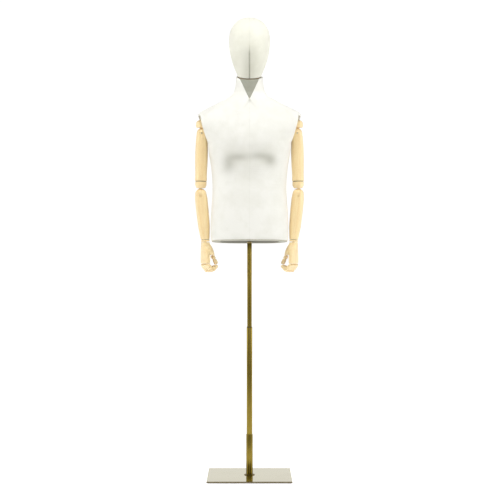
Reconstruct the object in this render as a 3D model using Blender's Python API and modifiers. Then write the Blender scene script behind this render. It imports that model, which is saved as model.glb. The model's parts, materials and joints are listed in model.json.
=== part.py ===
"""Dress form mannequin: a half-body form with jointed wooden arms on a telescopic stand.

Metres, +Z up. The form faces -Y and +X is its own left side. Both arms are built
from the left one's sizes, the right one under an empty that mirrors X. Each moving
piece hangs on an empty that stands on its joint's axis with its own Z along it.
"""
import math

import bmesh
import bpy
from mathutils import Matrix, Vector

# Fits
SEAT_GAP = 0.0003
TURN_GAP = 0.0005
STEPS = 16

# Stand
BASE_SIDE = 0.320
BASE_THICK = 0.005
PAD_THICK = 0.0017
PAD_MARGIN = 0.004
BOLT_DIA = 0.012
BOLT_HEAD_DIA = 0.020
BOLT_HEAD_THICK = 0.0018
FLANGE_DIA = 0.040
FLANGE_THICK = 0.002
SOCKET_WALL = 0.0014
SOCKET_FLOOR = 0.017
SOCKET_TOP_Z = 0.162
OUTER_TUBE_DIA = 0.022
OUTER_TUBE_WALL = 0.001
OUTER_TUBE_TOP_Z = 0.571
INNER_TUBE_DIA = 0.018
INNER_TUBE_WALL = 0.0009
INNER_TUBE_BOTTOM_Z = 0.300
INNER_TUBE_TOP_Z = 0.893
BUSH_LENGTH = 0.015
BUSH_RIM = 0.002
LOCK_DROP = 0.028
LOCK_BOSS_DIA = 0.011
LOCK_BOSS_LENGTH = 0.006
LOCK_SHANK_DIA = 0.005
LOCK_HEAD_DIA = 0.018
LOCK_HEAD_THICK = 0.007

# Torso: the rows run from the bottom edge to the neck's top edge
COVER_THICK = 0.0018
SHELL_WALL = 0.004
TORSO_BOTTOM_Z = 0.899
TORSO_BOTTOM_TILT = -3.2
CHEST_FRONT = 0.118
CHEST_BACK = 0.108
NECK_HALF_WIDTH = 0.0513
NECK_HALF_DEPTH = 0.055
NECK_TILT = 16.0
NECK_TOP = Vector((0, -0.006, 1.5275))
CAVITY_HALF_WIDTH = 0.150
BOARD_TOP_Z = 0.916
SPIGOT_FLANGE_DIA = 0.060
SPIGOT_DEPTH = 0.058
GUSSET_HALF_WIDTH = 0.0405
GUSSET_TOP_Z = 1.524
GUSSET_TIP_Z = 1.440
POST_DIA = 0.014
POST_COLLAR_DIA = 0.024

# Head
HEAD_COVER_THICK = 0.0014
HEAD_WALL = 0.004
HEAD_RISE = 0.0034
HEAD_DISC_THICK = 0.012
HEAD_RIM_HALF_WIDTH = 0.0445
HEAD_RIM_HALF_DEPTH = 0.053
HEAD_HALF_WIDTH = 0.0785
HEAD_TOP_Z = 1.755

# Arm, for the left side
ARMPIT = Vector((0.160, 0, 1.276))
SHOULDER_TIP = Vector((0.195, 0, 1.376))
BOLT_HEIGHT = 0.0773
POCKET_RADIUS = 0.0235
POCKET_DEPTH = 0.0268
SWEEP_TOP = 0.029
SWEEP_TOP_BEHIND = 0.017
PLATE_DIA = 0.034
PLATE_THICK = 0.0022
SHOULDER_BOLT_DIA = 0.008
SHOULDER_PIVOT = Vector((0.182, 0, 1.313))
SHOULDER_DOME = 0.0205
SHOULDER_KNUCKLE_RADIUS = 0.0202
UPPER_ARM_LENGTH = 0.182
UPPER_ARM_LEAN = 1.2
UPPER_ARM_RADIUS = 0.0243
ELBOW_GAP = 0.0025
ELBOW_KNUCKLE_LENGTH = 0.0245
ELBOW_DROP = 0.024
ELBOW_DOME = 0.022
FOREARM_LEAN = 5.6
FOREARM_LENGTH = 0.1735
FOREARM_RADIUS = 0.0241
WRIST_RADIUS = 0.0166
TONGUE_THICK = 0.009
TONGUE_NECK = 0.008
TONGUE_CLEAR = 0.0004
PEG_DIA = 0.012
PEG_LENGTH = 0.018
PIN_DIA = 0.005
PIN_LENGTH = 0.028
RING_THICK = 0.0075

# Hand: P is the way the palm faces, K runs from the index to the little finger
HAND_YAW = 28.0
HAND_GAP = 0.0018
PALM_LENGTH = 0.0820
PALM_HALF_THICK = 0.0098
PALM_HALF_BREADTH = 0.0315
FINGER_PITCH = 0.0156
FINGER_WIDTH = 0.0147
FINGER_HALF_THICK = 0.0056
FINGER_CLEAR = 0.0007
KNUCKLE_P = 0.0007
FINGER_FOLD = 88.0
FINGERS = {
    "index": (49, 0.0260, 0.0235),
    "middle": (46, 0.0285, 0.0255),
    "ring": (42, 0.0280, 0.0250),
    "little": (37, 0.0255, 0.0225),
}
THENAR_P = (0.004, 0.015)
THENAR_K = -0.018
THENAR_RADIUS = 0.0130
THENAR_LENGTH = 0.0485
THUMB_P = 0.0230
THUMB_WIDTH = 0.0130
THUMB_LENGTHS = (0.0155, 0.0160)
THUMB_ANGLE = 28.0


def new_collection(name):
    group = bpy.data.collections.new(name)
    bpy.context.scene.collection.children.link(group)
    return group


def finish(name, colour, roughness, metallic=0.0):
    material = bpy.data.materials.new(name)
    material.use_nodes = True
    shader = material.node_tree.nodes["Principled BSDF"]
    shader.inputs["Base Color"].default_value = (*colour, 1)
    shader.inputs["Roughness"].default_value = roughness
    shader.inputs["Metallic"].default_value = metallic
    material.diffuse_color = (*colour, 1)
    return material


def turn_about(axis, degrees):
    return Matrix.Rotation(math.radians(degrees), 4, axis)


def move(x=0.0, y=0.0, z=0.0):
    return Matrix.Translation((x, y, z))


class Frame:
    """An empty, and where it stands before any mirroring."""

    def __init__(self, name, parent=None, stands=Matrix()):
        self.stands = stands
        self.empty = bpy.data.objects.new(name, None)
        self.empty.empty_display_size = 0.03
        parts.objects.link(self.empty)
        if parent:
            self.empty.parent = parent.empty
            self.empty.matrix_basis = parent.stands.inverted() @ stands
        else:
            self.empty.matrix_basis = stands


def joint_frame(name, parent, origin, axis):
    """A frame on a joint: its Z is the joint's axis."""
    turn = Vector((0, 0, 1)).rotation_difference(Vector(axis)).to_matrix().to_4x4()
    return Frame(name, parent, Matrix.Translation(origin) @ turn)


def add(name, mesh, material, frame, stands=Matrix(), smooth=False):
    """A piece of the object, made in its own frame and hung on a joint's."""
    piece = bpy.data.objects.new(name, mesh)
    parts.objects.link(piece)
    piece.parent = frame.empty
    piece.matrix_basis = frame.stands.inverted() @ stands
    mesh.materials.append(material)
    mesh.polygons.foreach_set("use_smooth", [smooth] * len(mesh.polygons))
    return piece


def add_cutter(name, mesh, frame, stands=Matrix()):
    cutter = bpy.data.objects.new(name, mesh)
    cutters.objects.link(cutter)
    cutter.parent = frame.empty
    cutter.matrix_basis = frame.stands.inverted() @ stands
    cutter.hide_render = True
    cutter.display_type = "WIRE"
    return cutter


def apply_boolean(piece, other, operation):
    boolean = piece.modifiers.new(operation.lower(), "BOOLEAN")
    boolean.object = other
    boolean.operation = operation
    boolean.solver = "EXACT"


def mesh_from(bm, name):
    bmesh.ops.recalc_face_normals(bm, faces=bm.faces[:])
    mesh = bpy.data.meshes.new(name)
    bm.to_mesh(mesh)
    bm.free()
    return mesh


def box_mesh(name, low, high):
    """A box between two corners."""
    low, high = Vector(low), Vector(high)
    bm = bmesh.new()
    size = Matrix.Diagonal((*(high - low), 1))
    bmesh.ops.create_cube(bm, size=1, matrix=Matrix.Translation((low + high) / 2) @ size)
    return mesh_from(bm, name)


def rod_mesh(name, radius, low, high, steps=STEPS):
    """A cylinder along Z."""
    bm = bmesh.new()
    bmesh.ops.create_cone(
        bm, cap_ends=True, segments=steps, radius1=radius, radius2=radius,
        depth=high - low, matrix=move(z=(low + high) / 2),
    )
    return mesh_from(bm, name)


def profile_mesh(name, points, closed=False):
    """A profile to turn, as (radius, height), down its outer side."""
    mesh = bpy.data.meshes.new(name)
    edges = [(i, i + 1) for i in range(len(points) - 1)]
    if closed:
        edges.append((len(points) - 1, 0))
    mesh.from_pydata([(r, 0, z) for r, z in points], edges, [])
    return mesh


def add_screw(piece, steps=STEPS):
    screw = piece.modifiers.new("turned", "SCREW")
    screw.axis = "Z"
    screw.steps = screw.render_steps = steps
    screw.use_merge_vertices = True
    screw.merge_threshold = 0.00001
    screw.use_smooth_shade = True


def turned(name, points, material, frame, stands=Matrix(), closed=False, steps=STEPS):
    piece = add(name, profile_mesh(name, points, closed), material, frame, stands)
    add_screw(piece, steps)
    return piece


def turned_cutter(name, points, frame, stands=Matrix(), steps=STEPS):
    cutter = add_cutter(name, profile_mesh(name, points), frame, stands)
    add_screw(cutter, steps)
    return cutter


def tube_points(outer, inner, low, high):
    return [(outer, high), (outer, low), (inner, low), (inner, high)]


def ring_points(row, around):
    """One section of a lofted form: a superellipse with unlike front and back."""
    z, centre_y, half_width, front, back, power, tilt = row
    tilt = math.radians(tilt)
    points = []
    for i in range(around):
        angle = 2 * math.pi * i / around
        c, s = math.cos(angle), math.sin(angle)
        x = half_width * math.copysign(abs(c) ** (2 / power), c)
        y = (back if s > 0 else front) * math.copysign(abs(s) ** (2 / power), s)
        points.append(Vector((x, centre_y + y * math.cos(tilt), z + y * math.sin(tilt))))
    return points


def loft_mesh(name, rows, around=24, grow=0.0, overrun=(0.0, 0.0)):
    """Sections joined into a closed form, grown along its normals, its ends run on."""
    rings = [ring_points(row, around) for row in rows]
    for end, run in ((0, -overrun[0]), (-1, overrun[1])):
        if run:
            tilt = math.radians(rows[end][6])
            step = Vector((0, -math.sin(tilt), math.cos(tilt))) * run
            further = [point + step for point in rings[end]]
            rings.insert(0 if end == 0 else len(rings), further)
    bm = bmesh.new()
    loops = [[bm.verts.new(point) for point in ring] for ring in rings]
    for lower, upper in zip(loops, loops[1:]):
        for i in range(around):
            j = (i + 1) % around
            if math.cos(2 * math.pi * (i + 0.5) / around) > 0:
                i, j = j, i
            bm.faces.new((lower[i], lower[j], upper[j]))
            bm.faces.new((lower[i], upper[j], upper[i]))
    bmesh.ops.recalc_face_normals(bm, faces=bm.faces[:])
    bm.normal_update()
    for vert in bm.verts:
        vert.co += vert.normal * grow
    bm.faces.new(reversed(loops[0]))
    bm.faces.new(loops[-1])
    return mesh_from(bm, name)


def prism_mesh(name, outline, low, high):
    """A flat (x, z) outline run along Y."""
    bm = bmesh.new()
    face = bm.faces.new([bm.verts.new((x, low, z)) for x, z in outline])
    run = bmesh.ops.extrude_face_region(bm, geom=[face])["geom"]
    moved = [item for item in run if isinstance(item, bmesh.types.BMVert)]
    bmesh.ops.translate(bm, verts=moved, vec=(0, high - low, 0))
    return mesh_from(bm, name)


def arc(radius, start, end, count):
    """(radius, height) points on a circle round the origin, from start to end degrees."""
    points = []
    for i in range(count + 1):
        angle = math.radians(start + (end - start) * i / count)
        points.append((radius * math.cos(angle), radius * math.sin(angle)))
    return points


# ---------------------------------------------------------------- stand

def build_stand():
    """Pad, plate, bolt, flange, socket and outer tube, from the floor up."""
    side = BASE_SIDE / 2
    pad_side = side - PAD_MARGIN
    plate_low = PAD_THICK + SEAT_GAP
    plate_top = plate_low + BASE_THICK
    pad = add("base_pad", box_mesh("base_pad", (-pad_side, -pad_side, 0), (pad_side, pad_side, PAD_THICK)),
              black_foam, stand)
    plate = add("base_plate", box_mesh("base_plate", (-side, -side, plate_low), (side, side, plate_top)),
                mirror_gold, stand)
    for piece, width in ((pad, 0.0005), (plate, 0.0008)):
        edge = piece.modifiers.new("eased_edges", "BEVEL")
        edge.width = width
        edge.segments = 1
    head_top = plate_low + BOLT_HEAD_THICK
    bore = BOLT_DIA / 2 + SEAT_GAP
    recess = BOLT_HEAD_DIA / 2 + SEAT_GAP
    sink = turned_cutter(
        "bolt_recess_cutter",
        [(0, plate_top + 0.01), (bore, plate_top + 0.01), (bore, head_top + SEAT_GAP),
         (recess, head_top + SEAT_GAP), (recess, plate_low - 0.01), (0, plate_low - 0.01)], stand)
    apply_boolean(plate, sink, "DIFFERENCE")

    flange_low = plate_top + SEAT_GAP
    flange_top = flange_low + FLANGE_THICK
    turned("base_flange", tube_points(FLANGE_DIA / 2, bore, flange_low, flange_top),
           brushed_gold, stand, closed=True)
    socket_low = flange_top + SEAT_GAP
    socket_floor = socket_low + SOCKET_FLOOR
    socket_bore = OUTER_TUBE_DIA / 2 + SEAT_GAP
    socket_radius = socket_bore + SOCKET_WALL
    turned("base_socket",
           [(socket_radius, SOCKET_TOP_Z), (socket_radius, socket_low), (bore, socket_low),
            (bore, socket_floor), (socket_bore, socket_floor), (socket_bore, SOCKET_TOP_Z)],
           brushed_gold, stand, closed=True)
    bolt_radius, head_radius = BOLT_DIA / 2, BOLT_HEAD_DIA / 2
    turned("base_bolt",
           [(0, socket_floor - 0.002), (bolt_radius, socket_floor - 0.002), (bolt_radius, head_top),
            (head_radius, head_top), (head_radius, plate_low), (0, plate_low)], zinc, stand)

    bore_radius = OUTER_TUBE_DIA / 2 - OUTER_TUBE_WALL
    tube = turned("outer_tube", tube_points(OUTER_TUBE_DIA / 2, bore_radius, socket_floor + SEAT_GAP,
                                            OUTER_TUBE_TOP_Z), brushed_gold, stand, closed=True)
    add_lock(tube, bore_radius)
    bush_inner = INNER_TUBE_DIA / 2 + SEAT_GAP
    bush_outer = bore_radius - SEAT_GAP
    rim_low = OUTER_TUBE_TOP_Z + SEAT_GAP
    turned("tube_bush",
           [(OUTER_TUBE_DIA / 2, rim_low + BUSH_RIM), (OUTER_TUBE_DIA / 2, rim_low), (bush_outer, rim_low),
            (bush_outer, OUTER_TUBE_TOP_Z - BUSH_LENGTH), (bush_inner, OUTER_TUBE_TOP_Z - BUSH_LENGTH),
            (bush_inner, rim_low + BUSH_RIM)], black_nylon, stand, closed=True)


def add_lock(tube, bore_radius):
    """The welded boss and the thumb screw behind the outer tube, which clamp the inner one."""
    height = OUTER_TUBE_TOP_Z - LOCK_DROP
    backwards = move(z=height) @ turn_about("X", -90)
    reach = OUTER_TUBE_DIA / 2 + LOCK_BOSS_LENGTH
    boss = add_cutter("lock_boss_shape", rod_mesh("lock_boss_shape", LOCK_BOSS_DIA / 2,
                                                  bore_radius + OUTER_TUBE_WALL / 2, reach), stand, backwards)
    apply_boolean(tube, boss, "UNION")
    hole = LOCK_SHANK_DIA / 2 + TURN_GAP
    drill = add_cutter("lock_hole_cutter", rod_mesh("lock_hole_cutter", hole, bore_radius / 2, reach + 0.01),
                       stand, backwards)
    apply_boolean(tube, drill, "DIFFERENCE")
    lock = joint_frame("joint.lock_turn", stand, (0, reach, height), (0, 1, 0))
    shank, head = LOCK_SHANK_DIA / 2, LOCK_HEAD_DIA / 2
    head_low = reach + TURN_GAP
    tip = INNER_TUBE_DIA / 2 + SEAT_GAP
    turned("lock_screw",
           [(0, head_low + LOCK_HEAD_THICK), (head * 0.92, head_low + LOCK_HEAD_THICK),
            (head, head_low + LOCK_HEAD_THICK * 0.85), (head, head_low + LOCK_HEAD_THICK * 0.15),
            (head * 0.92, head_low), (shank, head_low), (shank, tip), (0, tip)],
           brushed_gold, lock, backwards)


def build_mast():
    turned("inner_tube", tube_points(INNER_TUBE_DIA / 2, INNER_TUBE_DIA / 2 - INNER_TUBE_WALL,
                                     INNER_TUBE_BOTTOM_Z, INNER_TUBE_TOP_Z),
           brushed_gold, mast, closed=True)


# ---------------------------------------------------------------- torso

def torso_rows():
    """The outer surface of the cover: z, centre y, half width, front, back, power, tilt."""
    neck_y, neck_z = NECK_TOP.y, NECK_TOP.z
    return [
        (TORSO_BOTTOM_Z, 0, 0.1470, 0.104, 0.105, 2.6, TORSO_BOTTOM_TILT),
        (0.935, 0, 0.1485, 0.104, 0.106, 2.5, TORSO_BOTTOM_TILT / 2),
        (1.000, 0, 0.1468, 0.102, 0.100, 2.4, 0),
        (1.055, 0, 0.1430, 0.099, 0.090, 2.3, 0),
        (1.105, 0, 0.1410, 0.098, 0.085, 2.3, 0),
        (1.170, 0, 0.1450, 0.101, 0.088, 2.3, 0),
        (1.230, 0, 0.1535, 0.112, 0.096, 2.3, 0),
        (ARMPIT.z, 0, ARMPIT.x, CHEST_FRONT, 0.103, 2.3, 0),
        (1.300, 0, 0.1840, CHEST_FRONT, 0.106, 2.3, 0),
        (1.325, 0, 0.2050, CHEST_FRONT - 0.002, CHEST_BACK, 2.4, 0),
        (1.349, 0, 0.2150, CHEST_FRONT - 0.007, CHEST_BACK, 2.4, 0),
        (SHOULDER_TIP.z, 0, SHOULDER_TIP.x + 0.012, 0.102, 0.106, 2.2, 0),
        (1.393, 0, SHOULDER_TIP.x - 0.005, 0.093, 0.103, 2.1, 0),
        (1.409, 0, 0.1600, 0.084, 0.098, 2.0, 0),
        (1.425, 0, 0.1270, 0.075, 0.092, 2.0, 0),
        (1.440, 0, 0.0990, 0.068, 0.084, 2.0, 0),
        (1.457, 0, 0.0700, 0.061, 0.074, 2.0, 0),
        (1.473, neck_y / 6, NECK_HALF_WIDTH + 0.0085, NECK_HALF_DEPTH + 0.002, 0.065, 2.0, NECK_TILT * 0.4),
        (1.497, neck_y * 0.6, NECK_HALF_WIDTH + 0.0025, NECK_HALF_DEPTH, 0.058, 2.0, NECK_TILT * 0.75),
        (neck_z, neck_y, NECK_HALF_WIDTH, NECK_HALF_DEPTH, NECK_HALF_DEPTH, 2.0, NECK_TILT),
    ]


def armhole_tools(side, depth):
    """What is cut away for an arm, sunk by depth: the flat face, the arm's sweep and a pocket."""
    label = f"{side.empty.name}_{depth * 10000:.0f}"
    sunk = ARM_BOLT @ move(z=-depth)
    face = add_cutter(
        f"armhole_face_{label}",
        box_mesh("armhole_face", (-0.06, -0.15, 0), (BOLT_HEIGHT + depth / 3, 0.15, 0.08)), side, sunk)
    sweep = turned_cutter(
        f"armhole_sweep_{label}",
        [(0, 0.05), (0.100, 0.05), (0.100, 0.004), (0.078, -0.0015), (0.0545, -0.0090),
         (0.035, -0.0145), (0.021, -0.0195), (0, -0.0195)], side, sunk)
    for part, front, top in (("top", -0.12, SWEEP_TOP), ("back", 0.001 + depth, SWEEP_TOP_BEHIND)):
        above = add_cutter(
            f"sweep_{part}_{label}",
            box_mesh(f"sweep_{part}", (-0.12, front, -0.04), (-top - depth, 0.121, 0.06)), side, sunk)
        apply_boolean(sweep, above, "DIFFERENCE")
    pocket = turned_cutter(
        f"armhole_pocket_{label}",
        [(0, 0.04), (POCKET_RADIUS + depth, 0.04), (POCKET_RADIUS + depth, 0.0205 - POCKET_DEPTH),
         (0.0195 + depth, -POCKET_DEPTH), (0, -POCKET_DEPTH)], side, sunk)
    return face, sweep, pocket


def build_torso():
    """Shell, cover, throat gusset, bottom board, neck cap, post and spigot."""
    rows = torso_rows()
    cover = add("torso_cover", loft_mesh("torso_cover", rows), cotton, torso, smooth=True)
    inside = add_cutter("cover_inside_cutter", loft_mesh("cover_inside", rows, grow=-COVER_THICK,
                                                         overrun=(0.02, 0.02)), torso)
    shell_inset = COVER_THICK + SEAT_GAP
    shell = add("torso_shell", loft_mesh("torso_shell", rows, grow=-shell_inset), fibreglass, torso, smooth=True)
    for side in (left_side, right_side):
        for piece, depth in ((cover, 0), (inside, COVER_THICK), (shell, shell_inset)):
            for tool in armhole_tools(side, depth):
                apply_boolean(piece, tool, "DIFFERENCE")
    apply_boolean(cover, inside, "DIFFERENCE")

    wall = shell_inset + SHELL_WALL
    narrowed = [(z, y, min(half, CAVITY_HALF_WIDTH), front, back, power, tilt)
                for z, y, half, front, back, power, tilt in rows]
    cavity = add_cutter("cavity_cutter", loft_mesh("cavity", narrowed, grow=-wall, overrun=(0.02, 0.02)), torso)
    apply_boolean(shell, cavity, "DIFFERENCE")

    build_gusset(rows, cover)
    build_board(rows, wall + SEAT_GAP)
    build_neck(rows, wall + SEAT_GAP)


def build_gusset(rows, cover):
    """The V-shaped panel let into the front of the neck, between the cover's two hems."""
    for name, spare in (("gusset_opening_cutter", 0), ("gusset_shape", 2 * SEAT_GAP)):
        half = GUSSET_HALF_WIDTH - spare
        rise = half * 0.2
        slope = (GUSSET_TOP_Z - GUSSET_TIP_Z) / GUSSET_HALF_WIDTH
        outline = [(-half - rise, GUSSET_TOP_Z + rise * slope), (half + rise, GUSSET_TOP_Z + rise * slope),
                   (0, GUSSET_TIP_Z + spare * slope)]
        wedge = add_cutter(name, prism_mesh(name, outline, -0.2, -0.02), torso)
        if spare:
            gusset = add("throat_gusset", loft_mesh("throat_gusset", rows[-7:]), grey_cotton, torso, smooth=True)
            inner = add_cutter("gusset_inside_cutter", loft_mesh("gusset_inside", rows[-7:], grow=-COVER_THICK,
                                                                 overrun=(0.02, 0.02)), torso)
            apply_boolean(gusset, wedge, "INTERSECT")
            apply_boolean(gusset, inner, "DIFFERENCE")
        else:
            apply_boolean(cover, wedge, "DIFFERENCE")


def build_board(rows, inset):
    """The board that closes the torso, and the spigot that stands the torso in the inner tube."""
    z, y, half, front, back, power, tilt = rows[0]
    top = (BOARD_TOP_Z, y, half, front, back, power, 0)
    board = add("bottom_board", loft_mesh("bottom_board", [rows[0], top], grow=-inset - 0.0006), dark_board, torso)
    radius = INNER_TUBE_DIA / 2 - INNER_TUBE_WALL - SEAT_GAP
    drill = add_cutter("spigot_hole_cutter", rod_mesh("spigot_hole", radius + SEAT_GAP, z - 0.05, z + 0.05), torso)
    apply_boolean(board, drill, "DIFFERENCE")
    shoulder_low = INNER_TUBE_TOP_Z + SEAT_GAP
    shoulder_top = TORSO_BOTTOM_Z - 0.0012
    flange_low = BOARD_TOP_Z + SEAT_GAP
    turned("torso_spigot",
           [(0, flange_low + 0.004), (SPIGOT_FLANGE_DIA / 2, flange_low + 0.004),
            (SPIGOT_FLANGE_DIA / 2, flange_low), (radius, flange_low), (radius, shoulder_top),
            (INNER_TUBE_DIA / 2, shoulder_top), (INNER_TUBE_DIA / 2, shoulder_low), (radius, shoulder_low),
            (radius, INNER_TUBE_TOP_Z - SPIGOT_DEPTH), (0, INNER_TUBE_TOP_Z - SPIGOT_DEPTH)], pale_brass, torso)


def build_neck(rows, inset):
    """The wooden cap in the neck's mouth and the post that the head turns on."""
    z, y, half, front, back, power, tilt = rows[-1]
    lower = [below + (above - below) * 0.45 for below, above in zip(rows[-2], rows[-1])]
    upper = [below + (above - below) * 0.99 for below, above in zip(rows[-2], rows[-1])]
    cap = add("neck_cap", loft_mesh("neck_cap", [lower, upper], grow=-inset - 0.0005), beech, torso)
    post_radius = POST_DIA / 2
    drill = add_cutter("neck_post_hole_cutter", rod_mesh("post_hole", post_radius + SEAT_GAP, -0.05, 0.05), torso, NECK)
    apply_boolean(cap, drill, "DIFFERENCE")
    collar_top = HEAD_RISE - SEAT_GAP
    turned("neck_post",
           [(0, 0.045), (post_radius, 0.045), (post_radius, collar_top), (POST_COLLAR_DIA / 2, collar_top),
            (POST_COLLAR_DIA / 2, 0), (post_radius, 0), (post_radius, -0.035), (0, -0.035)], zinc, torso, NECK)


# ---------------------------------------------------------------- head

def head_rows():
    """The outer surface of the head's cover, from its rim up to the crown."""
    rim = NECK_TOP + NECK_AXIS * HEAD_RISE
    half, top = HEAD_HALF_WIDTH, HEAD_TOP_Z
    return [
        (rim.z, rim.y, HEAD_RIM_HALF_WIDTH, HEAD_RIM_HALF_DEPTH, HEAD_RIM_HALF_DEPTH, 2.0, NECK_TILT),
        (1.553, -0.007, 0.0540, 0.063, 0.060, 2.0, NECK_TILT * 0.75),
        (1.578, -0.007, 0.0635, 0.077, 0.072, 2.0, NECK_TILT * 0.5),
        (1.608, -0.006, 0.0718, 0.089, 0.084, 2.0, NECK_TILT * 0.25),
        (1.640, -0.005, half - 0.0012, 0.098, 0.093, 2.0, 0),
        (1.671, -0.004, half, 0.1005, 0.098, 2.0, 0),
        (1.700, -0.003, half * 0.945, 0.095, 0.096, 2.0, 0),
        (1.724, -0.002, half * 0.800, 0.081, 0.083, 2.0, 0),
        (1.741, -0.001, half * 0.590, 0.060, 0.062, 2.0, 0),
        (top - 0.004, 0, half * 0.345, 0.035, 0.036, 2.0, 0),
        (top, 0, half * 0.10, 0.010, 0.010, 2.0, 0),
    ]


def build_head():
    """Cover, shell and the disc that closes the head and turns on the neck post."""
    rows = head_rows()
    around = 20
    cover = add("head_cover", loft_mesh("head_cover", rows, around), cotton, head, smooth=True)
    inside = add_cutter("head_cover_cutter", loft_mesh("head_cover_inside", rows, around, -HEAD_COVER_THICK,
                                                       (0.02, 0)), head)
    apply_boolean(cover, inside, "DIFFERENCE")
    shell_inset = HEAD_COVER_THICK + SEAT_GAP
    shell = add("head_shell", loft_mesh("head_shell", rows, around, -shell_inset), fibreglass, head, smooth=True)
    wall = shell_inset + HEAD_WALL
    cavity = add_cutter("head_cavity_cutter", loft_mesh("head_cavity", rows, around, -wall, (0.02, 0)), head)
    apply_boolean(shell, cavity, "DIFFERENCE")

    z, y, half, front, back, power, tilt = rows[0]
    disc_rows = []
    for rise in (0, HEAD_DISC_THICK):
        centre = NECK_TOP + NECK_AXIS * (HEAD_RISE + rise)
        disc_rows.append((centre.z, centre.y, half, front, back, power, tilt))
    disc = add("head_disc", loft_mesh("head_disc", disc_rows, around, -wall - 2 * SEAT_GAP), beech, head)
    drill = add_cutter("head_post_hole_cutter", rod_mesh("head_post_hole", POST_DIA / 2 + TURN_GAP, -0.05, 0.05),
                       head, NECK)
    apply_boolean(disc, drill, "DIFFERENCE")


# ---------------------------------------------------------------- arms

def tongue(piece, name, radius, frame, stands):
    """The round tongue of a wooden hinge, with its neck and its pin hole, on the joint's Z."""
    half = TONGUE_THICK / 2
    plate = add_cutter(f"{name}_tongue_shape", rod_mesh("tongue", radius - TONGUE_CLEAR, -half, half), frame, stands)
    apply_boolean(piece, plate, "UNION")
    hole = add_cutter(f"{name}_tongue_pin_cutter", rod_mesh("pin_hole", PIN_DIA / 2 + SEAT_GAP, -0.05, 0.05, 16),
                      frame, stands)
    apply_boolean(piece, hole, "DIFFERENCE")


def fork(piece, name, radius, frame, stands, up):
    """The slot for that tongue in the piece below it. up is the limb's upward way in stands."""
    half = TONGUE_THICK / 2 + TONGUE_CLEAR
    low = -TONGUE_NECK - 0.002
    wide = radius + 0.01
    if up == "-X":
        corners = (-wide, -wide, -half), (-low, wide, half)
    else:
        corners = (-wide, low, -half), (wide, wide, half)
    slot = add_cutter(f"{name}_slot_cutter", box_mesh("slot", *corners), frame, stands)
    apply_boolean(piece, slot, "DIFFERENCE")
    floor = add_cutter(f"{name}_slot_floor_cutter", rod_mesh("slot_floor", radius + TONGUE_CLEAR, -half, half),
                       frame, stands)
    apply_boolean(piece, floor, "DIFFERENCE")
    hole = add_cutter(f"{name}_pin_cutter",
                      rod_mesh("pin_hole", PIN_DIA / 2 + TURN_GAP, -PIN_LENGTH / 2 - SEAT_GAP,
                               PIN_LENGTH / 2 + SEAT_GAP, 16), frame, stands)
    apply_boolean(piece, hole, "DIFFERENCE")


def dome(radius, count=5):
    """Profile of a domed end, from the top of the axis to its equator."""
    return [(r, z) for r, z in arc(radius, 90, 0, count)]


def build_arm(hand, side):
    """One arm, from the plate on the torso to the finger tips."""
    plate_low = -POCKET_DEPTH + SEAT_GAP
    plate_top = plate_low + PLATE_THICK
    bolt_radius = SHOULDER_BOLT_DIA / 2
    turned(f"{hand}_shoulder_plate",
           tube_points(PLATE_DIA / 2, bolt_radius + SEAT_GAP, plate_low, plate_top), zinc, side, ARM_BOLT, closed=True)
    turned(f"{hand}_shoulder_bolt",
           [(0, -0.007), (bolt_radius, -0.007), (bolt_radius, plate_top + 0.0022),
            (bolt_radius * 2, plate_top + 0.0022), (bolt_radius * 2, plate_top + SEAT_GAP),
            (bolt_radius, plate_top + SEAT_GAP), (bolt_radius, plate_low), (0, plate_low)],
           zinc, side, ARM_BOLT)

    swing = Frame(f"joint.{hand}_shoulder_swing", side, ARM_BOLT)
    pivot = SHOULDER_PIVOT
    raised = joint_frame(f"joint.{hand}_shoulder_raise", swing, pivot, (0, -1, 0))
    upright = Matrix.Translation(pivot) @ turn_about("Y", -UPPER_ARM_LEAN)
    across = upright @ turn_about("X", 90)
    knuckle_low = SHOULDER_DOME + 0.0022
    r = SHOULDER_KNUCKLE_RADIUS
    knuckle_x = ARM_BOLT.translation.x - pivot.x
    knuckle_place = Matrix.Translation(pivot + Vector((knuckle_x - 0.001, 0, 0)))
    knuckle = turned(f"{hand}_shoulder_knuckle",
                     [(0, knuckle_low + 0.0290), (r * 0.45, knuckle_low + 0.0278), (r * 0.78, knuckle_low + 0.0236),
                      (r * 0.97, knuckle_low + 0.0165), (r, knuckle_low + 0.0095), (r * 0.97, knuckle_low + 0.001),
                      (r * 0.90, knuckle_low), (r * 0.80, knuckle_low + 0.001), (0, knuckle_low + 0.006)],
                     beech, swing, knuckle_place)
    neck = add_cutter(f"{hand}_shoulder_tongue_neck",
                      box_mesh("neck", (-TONGUE_NECK, -TONGUE_THICK / 2, 0),
                               (TONGUE_NECK, TONGUE_THICK / 2, knuckle_low + 0.010)), swing, upright)
    apply_boolean(knuckle, neck, "UNION")
    tongue(knuckle, f"{hand}_shoulder", SHOULDER_DOME, swing, across)
    drill = add_cutter(f"{hand}_shoulder_bolt_cutter",
                       rod_mesh("bolt_hole", bolt_radius + TURN_GAP, -0.05, -0.0065), swing, ARM_BOLT)
    apply_boolean(knuckle, drill, "DIFFERENCE")
    add_pin(f"{hand}_shoulder_pin", swing, across)

    arm = build_upper_arm(hand, raised, upright, across)
    build_forearm(hand, raised, arm)


def add_pin(name, frame, stands):
    add(name, rod_mesh(name, PIN_DIA / 2, -PIN_LENGTH / 2, PIN_LENGTH / 2, 16), zinc, frame, stands)


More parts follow.
